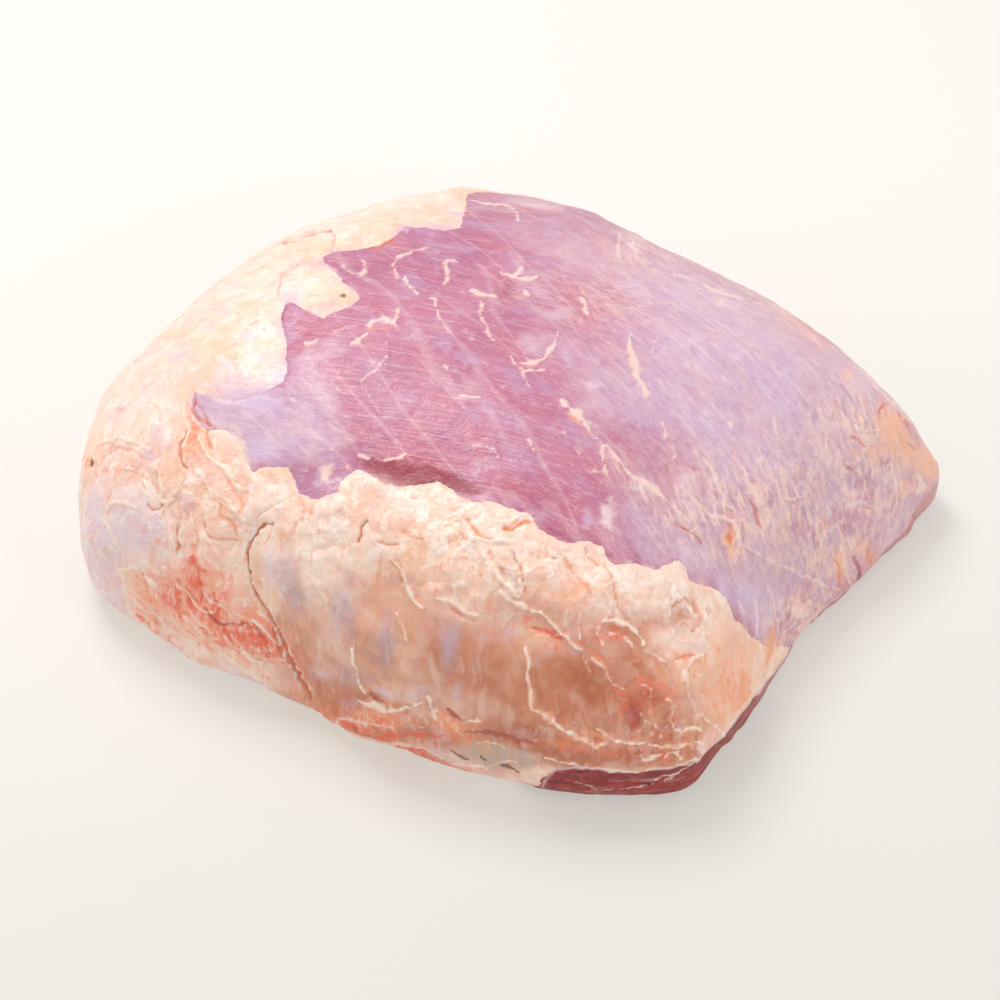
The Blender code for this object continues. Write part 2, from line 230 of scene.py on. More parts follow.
# Soft patches on the surface: x, y, half width, half height, turn in degrees, strength
PATCHES = {
    "cream": (
        (400, 213, 80, 26, -5, 0.5), (322, 284, 42, 26, 0, 0.4), (215, 300, 70, 45, -35, 0.4),
        (150, 385, 60, 45, -50, 0.9), (130, 425, 60, 22, 0, 0.9), (100, 500, 26, 40, 0, 0.6),
        (372, 500, 45, 26, 10, 1.0), (425, 505, 38, 24, 0, 1.0), (480, 520, 32, 16, 0, 0.8),
        (505, 560, 14, 26, -20, 0.9), (560, 555, 42, 16, 10, 0.7), (640, 578, 45, 16, 10, 0.7),
        (238, 452, 13, 26, -15, 1.0), (272, 490, 24, 24, 0, 0.9), (192, 640, 26, 8, 24, 1.0),
        (250, 340, 40, 40, 0, 0.6), (700, 600, 22, 16, 0, 0.4), (662, 598, 30, 14, 10, 0.6),
        (480, 560, 24, 16, 10, 0.6), (110, 500, 24, 16, 0, 0.4), (676, 640, 24, 12, 0, 0.9),
        (690, 652, 14, 8, 0, 0.5), (798, 610, 13, 9, 0, 0.9), (722, 305, 12, 7, 0, 0.7),
        (866, 440, 10, 7, 0, 0.6), (795, 503, 18, 5, -5, 0.7), (690, 727, 8, 4, 0, 0.9),
        (702, 746, 5, 8, 0, 0.9), (668, 656, 4, 4, 0, 0.9), (750, 495, 10, 16, -20, 0.5),
        (327, 473, 7, 12, 0, 0.9), (790, 640, 8, 6, 0, 0.4),
    ),
    "veil": (
        (122, 526, 26, 40, -12, 0.9), (94, 530, 14, 50, 6, 0.9), (152, 520, 20, 34, -10, 0.6),
        (112, 592, 12, 26, -40, 0.8), (160, 540, 9, 24, -12, 0.5), (272, 560, 12, 28, -8, 0.6),
        (292, 586, 8, 22, -8, 0.4), (340, 626, 6, 15, -12, 0.5), (349, 606, 5, 12, -10, 0.6),
        (387, 632, 6, 20, 0, 0.5), (452, 642, 6, 24, 12, 0.6), (324, 672, 22, 7, 15, 0.5),
        (247, 340, 12, 8, 0, 0.3), (290, 362, 12, 10, 0, 0.5), (276, 376, 16, 8, 0, 0.6),
        (386, 691, 15, 6, 20, 0.8), (456, 692, 10, 14, 0, 0.5), (518, 631, 8, 8, 0, 0.4),
        (252, 677, 32, 9, 34, 1.0), (100, 560, 18, 44, -10, 0.9), (92, 596, 12, 16, -30, 0.6),
        (150, 390, 70, 40, -50, 0.25), (118, 606, 20, 10, 40, 0.6), (246, 386, 42, 16, -8, 0.75),
        (262, 404, 30, 12, 0, 0.9), (252, 352, 14, 10, 0, 0.3), (180, 352, 16, 10, -30, 0.25),
        (200, 300, 14, 8, -20, 0.25), (226, 368, 14, 8, 0, 0.5), (440, 752, 42, 7, 14, 0.6),
        (322, 485, 14, 9, 0, 0.8), (352, 295, 12, 8, 0, 0.3), (163, 470, 14, 24, 0, 0.3),
        (306, 306, 12, 6, 0, 0.4), (372, 240, 14, 5, -10, 0.4), (420, 226, 10, 5, 0, 0.3),
        (150, 340, 10, 6, -40, 0.3), (226, 312, 10, 8, 0, 0.35), (150, 510, 16, 20, 0, 0.3),
        (480, 655, 10, 24, 0, 0.25), (420, 690, 12, 10, 0, 0.4),
    ),
    # Terracotta tone, darker toward the bottom of the front wall: partly the fat's own colour and partly painted
    # shade
    "terra": (
        (300, 640, 30, 44, 0, 0.55), (370, 640, 60, 60, 0, 0.6), (470, 665, 70, 50, 0, 0.9),
        (560, 690, 70, 50, 0, 1.0), (620, 660, 50, 50, 0, 0.9), (540, 605, 44, 22, 0, 0.6),
        (330, 690, 40, 26, 10, 0.7), (420, 600, 60, 30, 0, 0.4), (650, 720, 50, 30, 0, 0.8),
        (720, 690, 34, 40, 0, 0.5), (640, 628, 22, 16, 0, 0.6), (680, 612, 16, 14, 0, 0.8),
        (400, 725, 100, 18, 14, 0.9), (500, 735, 60, 14, 5, 0.8), (580, 752, 60, 10, 5, 0.6),
        (250, 600, 12, 30, -10, 0.3), (740, 660, 24, 34, 0, 0.4), (495, 755, 38, 14, 8, 0.4),
        (570, 738, 60, 16, 8, 1.0), (640, 745, 50, 14, 4, 1.0), (600, 672, 40, 24, 0, 0.9),
        (370, 706, 50, 16, 12, 0.8), (560, 760, 50, 8, 8, 0.9), (660, 758, 40, 8, -6, 0.8),
        (400, 748, 80, 10, 22, 0.7), (400, 238, 60, 7, -8, 0.3), (340, 304, 24, 8, 0, 0.3),
        (300, 264, 22, 6, -30, 0.3), (445, 222, 12, 12, 0, 0.25), (692, 728, 24, 24, 0, 0.7),
        (530, 716, 50, 20, 10, 0.6), (330, 715, 50, 12, 26, 0.7), (420, 752, 60, 10, 18, 0.5),
        (600, 720, 50, 26, 0, 0.6), (300, 655, 16, 30, -20, 0.5),
    ),
    # Darker, redder patches along the foot: partly a redder tone and partly painted shade near the ground
    "rust": (
        (600, 690, 60, 44, 0, 0.8), (620, 748, 76, 14, 0, 0.9), (560, 742, 54, 12, 8, 0.9),
        (664, 742, 32, 16, 0, 0.8), (390, 724, 50, 14, 12, 0.6), (738, 702, 14, 24, 20, 0.4),
        (350, 700, 24, 16, 10, 0.5), (520, 725, 40, 12, 5, 0.5), (440, 752, 40, 8, 18, 0.4),
        (340, 726, 50, 6, 26, 0.5),
    ),
    # Orange-brown patches; the strokes of this kind also take the painted shadow under raised strands
    "amber": (
        (738, 690, 16, 30, 10, 0.5), (380, 712, 20, 9, 0, 0.9), (450, 722, 12, 9, 35, 0.9),
        (285, 535, 10, 14, 0, 0.6), (313, 511, 4, 5, 0, 0.8), (300, 505, 5, 5, 0, 0.6),
        (324, 532, 6, 5, 0, 0.5), (390, 565, 14, 16, 0, 0.4), (413, 640, 8, 24, 0, 0.4),
        (568, 566, 7, 4, 20, 0.8), (587, 588, 5, 6, 40, 0.8), (606, 583, 7, 4, 0, 0.6),
        (490, 599, 7, 6, 0, 0.7), (395, 226, 6, 4, 0, 0.6), (428, 213, 4, 7, 0, 0.4),
        (222, 515, 16, 16, 0, 0.4), (196, 455, 14, 16, 0, 0.45), (125, 475, 20, 12, 0, 0.4),
        (150, 610, 24, 12, 30, 0.5), (270, 645, 14, 16, 0, 0.6), (240, 640, 26, 12, 20, 0.5),
        (560, 740, 40, 9, 8, 0.5), (725, 690, 8, 24, 0, 0.5), (742, 690, 6, 18, 0, 0.4),
        (768, 645, 5, 18, 10, 0.8), (700, 668, 14, 12, 0, 0.5), (900, 440, 5, 26, -26, 0.6),
        (936, 470, 6, 14, -35, 0.6), (838, 572, 5, 22, -8, 0.8), (868, 556, 10, 16, 20, 0.7),
        (822, 336, 20, 5, 35, 0.7), (729, 535, 5, 10, 0, 0.9), (832, 408, 7, 5, 0, 0.5),
        (686, 740, 6, 8, 0, 0.7), (852, 452, 8, 8, 0, 0.5), (780, 300, 40, 5, 32, 0.3),
        (745, 530, 8, 20, -20, 0.4), (640, 700, 40, 40, 0, 0.5), (470, 725, 30, 6, 0, 0.4),
        (310, 690, 24, 10, 25, 0.4),
    ),
    "blood": (
        (196, 583, 13, 17, 20, 0.8), (178, 598, 20, 12, 40, 0.6), (216, 606, 14, 14, 0, 0.6),
        (240, 630, 30, 12, 14, 0.7), (258, 644, 18, 12, 30, 0.6), (275, 644, 9, 20, -20, 0.6),
        (152, 592, 20, 12, 30, 0.3), (205, 612, 50, 20, 24, 0.25), (160, 625, 26, 6, 35, 0.3),
        (222, 640, 22, 10, 20, 0.3), (640, 690, 44, 36, 0, 0.2), (450, 768, 60, 5, 16, 0.6),
        (690, 700, 14, 30, 0, 0.2), (650, 690, 16, 14, 0, 0.4), (631, 716, 9, 18, 0, 0.5),
        (668, 714, 8, 22, 0, 0.3), (645, 715, 34, 28, 0, 0.2), (612, 632, 16, 11, 0, 0.5),
        (612, 692, 10, 14, 0, 0.4), (400, 732, 50, 5, 5, 0.6), (350, 728, 60, 8, 24, 0.7),
        (420, 752, 50, 7, 20, 0.7), (560, 742, 60, 6, 8, 0.3), (640, 752, 40, 5, 0, 0.3),
        (560, 772, 24, 6, 10, 0.4), (340, 722, 40, 4, 20, 0.6), (167, 642, 5, 3, 0, 0.9),
        (380, 714, 16, 7, 0, 0.5), (555, 634, 10, 5, 20, 0.7), (195, 430, 8, 14, 0, 0.4),
        (200, 505, 30, 30, 0, 0.2), (686, 655, 14, 8, 0, 0.4), (120, 470, 16, 8, 0, 0.3),
        (530, 620, 14, 6, 0, 0.4), (580, 640, 30, 14, 0, 0.3),
    ),
    "darkred": (
        (634, 708, 10, 20, 0, 0.65), (652, 694, 14, 12, 0, 0.55), (668, 716, 9, 20, 0, 0.5),
        (646, 716, 32, 26, 0, 0.3), (612, 700, 20, 14, 0, 0.25),
    ),
    "grey": (
        (495, 752, 40, 13, 8, 1.0), (520, 760, 24, 10, 5, 0.6),
    ),
    "apricot": (
        (893, 434, 17, 34, -22, 1.0), (924, 462, 14, 22, -35, 1.0), (740, 668, 30, 36, 0, 0.8),
        (700, 656, 26, 26, 0, 0.5), (718, 706, 28, 24, 0, 0.7), (600, 592, 60, 14, 10, 0.3),
        (800, 330, 40, 8, 33, 0.4), (845, 375, 14, 14, 30, 0.5), (800, 604, 16, 14, 0, 0.5),
        (770, 648, 10, 16, 10, 0.7), (838, 565, 9, 22, -8, 0.6), (560, 590, 44, 18, 10, 0.5),
        (440, 560, 30, 18, 0, 0.3), (730, 542, 10, 22, -10, 0.8), (870, 452, 14, 14, 0, 0.5),
        (150, 470, 36, 16, 0, 0.4), (215, 515, 26, 30, 0, 0.5), (200, 450, 16, 24, 0, 0.5),
        (420, 600, 50, 26, 0, 0.5), (540, 640, 50, 20, 10, 0.4), (905, 488, 10, 14, 30, 0.5),
        (860, 546, 12, 14, 20, 0.6), (250, 590, 30, 20, 10, 0.4), (640, 640, 40, 16, 20, 0.4),
    ),
    "mauve": (
        (762, 574, 30, 24, 20, 0.8), (787, 528, 16, 24, 0, 0.8), (700, 542, 14, 20, -20, 0.5),
        (722, 556, 14, 24, -15, 0.6), (846, 470, 12, 20, 0, 0.5), (818, 560, 24, 18, 0, 0.5),
        (895, 505, 18, 22, 0, 0.5), (560, 240, 40, 14, 15, 0.3), (640, 270, 30, 10, 20, 0.4),
        (740, 500, 18, 16, 0, 0.5), (520, 200, 30, 5, 10, 0.5), (812, 505, 14, 18, 0, 0.4),
    ),
    "hot": (
        (205, 605, 60, 30, 24, 0.8), (260, 635, 34, 26, 20, 0.8), (195, 575, 24, 30, 10, 0.7),
        (150, 595, 28, 22, 30, 0.6), (650, 694, 44, 34, 0, 0.15), (610, 640, 26, 14, 10, 0.4),
        (380, 714, 40, 12, 8, 0.9), (450, 722, 18, 12, 30, 0.7), (700, 745, 10, 10, 0, 0.4),
        (725, 690, 20, 30, 0, 0.5), (330, 712, 40, 8, 24, 0.6), (545, 632, 20, 8, 20, 0.5),
        (195, 440, 12, 20, 0, 0.5), (110, 470, 24, 8, 0, 0.4), (220, 520, 14, 14, 0, 0.3),
        (490, 604, 10, 8, 0, 0.4), (686, 655, 20, 10, 0, 0.5), (300, 670, 12, 24, -25, 0.5),
        (580, 738, 50, 8, 10, 0.4), (470, 740, 40, 6, 8, 0.4), (205, 661, 9, 5, 20, 0.9),
        (170, 641, 10, 5, 20, 0.7),
    ),
    "wall": (
        (286, 566, 16, 26, -8, 0.5), (298, 596, 12, 26, -12, 0.8), (344, 612, 13, 28, -10, 0.95),
        (388, 642, 11, 26, 0, 0.95), (452, 644, 9, 26, 10, 0.95), (420, 690, 24, 14, 0, 0.3),
        (356, 676, 24, 12, 10, 0.6), (520, 640, 14, 20, 0, 0.2),
    ),
    "hatch": (
        (624, 302, 52, 24, 12, 1.0), (700, 290, 60, 18, 24, 0.7), (540, 300, 30, 20, 0, 0.5),
        (760, 330, 60, 16, 34, 0.5),
    ),
    "rose": (
        (215, 652, 24, 6, 28, 0.6), (170, 330, 30, 12, -45, 0.5), (140, 386, 16, 24, 20, 0.4),
        (232, 288, 26, 8, -25, 0.5), (300, 250, 26, 7, -20, 0.5), (262, 344, 12, 20, 0, 0.4),
        (206, 372, 20, 10, 0, 0.4), (350, 222, 24, 6, -15, 0.4), (330, 296, 14, 8, 0, 0.4),
        (300, 680, 26, 12, 28, 0.6), (160, 640, 30, 7, 30, 0.6), (318, 515, 26, 18, 0, 0.7),
        (430, 540, 24, 12, 0, 0.5), (210, 470, 24, 30, 0, 0.5), (212, 560, 30, 40, -10, 0.7),
        (680, 640, 24, 10, 0, 0.7), (710, 738, 9, 16, 0, 0.9), (480, 770, 60, 6, 10, 0.7),
        (140, 460, 30, 16, 0, 0.5), (345, 735, 40, 8, 22, 0.4), (540, 560, 20, 20, 0, 0.4),
        (460, 612, 20, 8, 10, 0.6), (170, 520, 20, 30, 0, 0.4), (770, 560, 40, 30, 0, 0.35),
        (880, 500, 30, 30, 0, 0.4), (800, 330, 50, 14, 35, 0.5), (690, 500, 8, 26, -40, 0.5),
        (756, 494, 6, 20, -30, 0.6), (730, 520, 6, 24, -20, 0.5), (815, 490, 18, 7, -40, 0.6),
        (845, 570, 7, 20, -10, 0.5), (650, 490, 22, 5, 40, 0.6),
    ),
    "silver": (
        (780, 500, 90, 60, 30, 0.7), (850, 500, 70, 80, 0, 0.7), (720, 380, 130, 90, 35, 1.0),
        (690, 300, 90, 30, 30, 0.6), (800, 430, 80, 80, 0, 0.9), (650, 530, 60, 40, 30, 0.6),
        (230, 410, 60, 34, 0, 1.0), (268, 440, 40, 26, 0, 1.0), (325, 440, 36, 34, 0, 0.6),
        (560, 250, 80, 26, 20, 0.45), (315, 400, 26, 34, 0, 0.6), (860, 480, 70, 60, 0, 0.5),
        (740, 560, 60, 50, 30, 0.7), (560, 350, 50, 24, 20, 0.3), (600, 400, 40, 30, 0, 0.5),
        (480, 470, 24, 22, 0, 0.4), (330, 350, 30, 16, -20, 0.4), (850, 380, 40, 40, 0, 0.6),
        (530, 345, 14, 12, 0, 0.5),
    ),
    "bluish": (
        (250, 438, 26, 22, 0, 0.5), (262, 452, 20, 10, 0, 0.8), (690, 555, 20, 22, 30, 0.7),
        (722, 590, 9, 18, -20, 0.8), (756, 610, 12, 34, -6, 1.0), (774, 606, 10, 24, 0, 1.0),
        (742, 600, 10, 22, -20, 0.8), (760, 566, 20, 14, 0, 0.4), (705, 560, 16, 14, 30, 0.5),
        (690, 345, 24, 14, 20, 0.5), (735, 358, 24, 10, 20, 0.5), (690, 512, 14, 10, 40, 0.7),
        (640, 290, 20, 10, 20, 0.4), (790, 390, 14, 50, -5, 0.4), (560, 315, 24, 10, -20, 0.4),
        (700, 420, 40, 20, 0, 0.4), (586, 520, 8, 14, 0, 0.6), (640, 430, 24, 14, 20, 0.3),
        (850, 488, 14, 14, 0, 0.6),
    ),
    "red": (
        (600, 305, 44, 24, 8, 0.9), (500, 480, 90, 18, 20, 0.6), (415, 462, 60, 16, 12, 0.7),
        (545, 440, 60, 50, 0, 0.35), (305, 335, 18, 26, -10, 0.7), (385, 265, 30, 10, 0, 0.3),
        (372, 308, 22, 12, 0, 0.6), (600, 500, 40, 18, 60, 0.4), (858, 566, 6, 18, 0, 1.0),
        (850, 556, 9, 16, 0, 0.6), (650, 450, 26, 22, 0, 0.6), (666, 305, 20, 10, 0, 0.7),
        (700, 300, 16, 7, 0, 0.6), (746, 612, 5, 22, -8, 0.8), (785, 455, 5, 36, -4, 0.6),
        (802, 535, 7, 26, 0, 0.7), (830, 487, 8, 12, 0, 0.5), (640, 520, 20, 14, 0, 0.5),
        (620, 560, 16, 8, 20, 0.8), (560, 500, 30, 26, 0, 0.4), (345, 330, 12, 8, 0, 0.4),
        (868, 415, 8, 16, 0, 0.5), (910, 505, 14, 26, 40, 0.5), (480, 250, 60, 16, 0, 0.25),
        (520, 300, 24, 16, 0, 0.3), (700, 268, 50, 5, 26, 0.5), (780, 540, 24, 26, 0, 0.3),
    ),
    # Painted shade: dark red where the lean lies in shade, under the fat crest, in the small hole and at a few other
    # spots
    "shade": (
        (382, 469, 24, 8, 20, 1.0), (408, 474, 40, 14, 12, 1.0), (412, 482, 20, 8, 0, 1.0),
        (442, 479, 24, 10, 14, 0.9), (466, 488, 18, 7, 16, 0.8), (508, 291, 13, 10, 0, 0.5),
        (556, 533, 26, 4, 22, 0.6), (930, 483, 5, 8, 0, 0.9), (478, 494, 14, 3, 5, 0.5),
        (590, 533, 14, 3, 0, 0.4), (858, 574, 3, 8, 0, 0.6), (610, 556, 8, 5, 50, 0.5),
    ),
    # Pale membrane on the lean; the strokes of this kind also paint a few glints
    "pale": (
        (890, 450, 30, 40, 0, 0.3), (760, 460, 9, 11, 0, 0.6), (684, 490, 14, 24, -20, 0.6),
        (632, 246, 14, 18, 0, 0.6), (590, 388, 16, 6, 0, 0.6), (608, 516, 9, 18, 0, 0.9),
        (780, 305, 60, 10, 32, 0.4), (540, 205, 40, 6, 12, 0.7), (850, 505, 12, 6, 0, 0.6),
        (740, 345, 50, 8, 25, 0.3), (830, 425, 12, 14, 0, 0.5), (640, 488, 14, 8, 30, 0.8),
        (710, 490, 8, 20, -30, 0.5), (820, 590, 20, 10, 20, 0.5), (300, 470, 10, 20, 0, 0.4),
        (480, 470, 20, 18, 0, 0.35), (690, 280, 40, 4, 24, 0.5), (880, 475, 20, 14, 0, 0.4),
    ),
    "crusty": (
        (160, 465, 50, 30, 0, 0.6), (200, 600, 60, 36, 20, 0.8), (190, 330, 60, 60, -40, 0.35),
        (215, 500, 40, 40, 0, 0.8), (265, 640, 30, 30, 30, 0.8), (690, 620, 40, 40, 0, 0.5),
        (610, 640, 60, 30, 20, 0.6), (650, 700, 50, 50, 0, 0.7), (580, 735, 60, 16, 15, 0.7),
        (400, 715, 60, 16, 5, 0.8), (470, 600, 60, 20, 15, 0.6), (380, 500, 60, 34, 5, 1.0),
        (450, 525, 50, 40, 10, 1.0), (540, 560, 60, 36, 15, 0.9), (640, 590, 60, 26, 10, 0.8),
        (262, 490, 34, 26, 0, 0.7), (320, 530, 30, 26, 0, 0.8), (200, 470, 36, 40, 0, 0.5),
        (230, 620, 60, 26, 20, 0.5), (690, 735, 24, 20, 0, 0.6),
    ),
    "flaky": (
        (760, 500, 60, 50, 0, 0.7), (830, 540, 50, 50, 0, 0.8), (700, 520, 40, 50, -30, 0.5),
        (880, 470, 44, 50, 0, 0.8), (800, 620, 40, 26, 0, 0.9), (850, 420, 40, 34, 0, 0.7),
        (780, 310, 90, 14, 34, 0.5), (640, 250, 40, 20, 0, 0.5), (640, 490, 50, 12, 45, 0.5),
        (590, 300, 60, 24, 10, 0.3),
    ),
    "thin": (
        (240, 390, 70, 26, 0, 1.0), (290, 330, 16, 60, 0, 0.8), (350, 280, 60, 40, 0, 0.6),
        (440, 230, 60, 24, 0, 0.7), (322, 490, 18, 12, 0, 0.8),
    ),
}

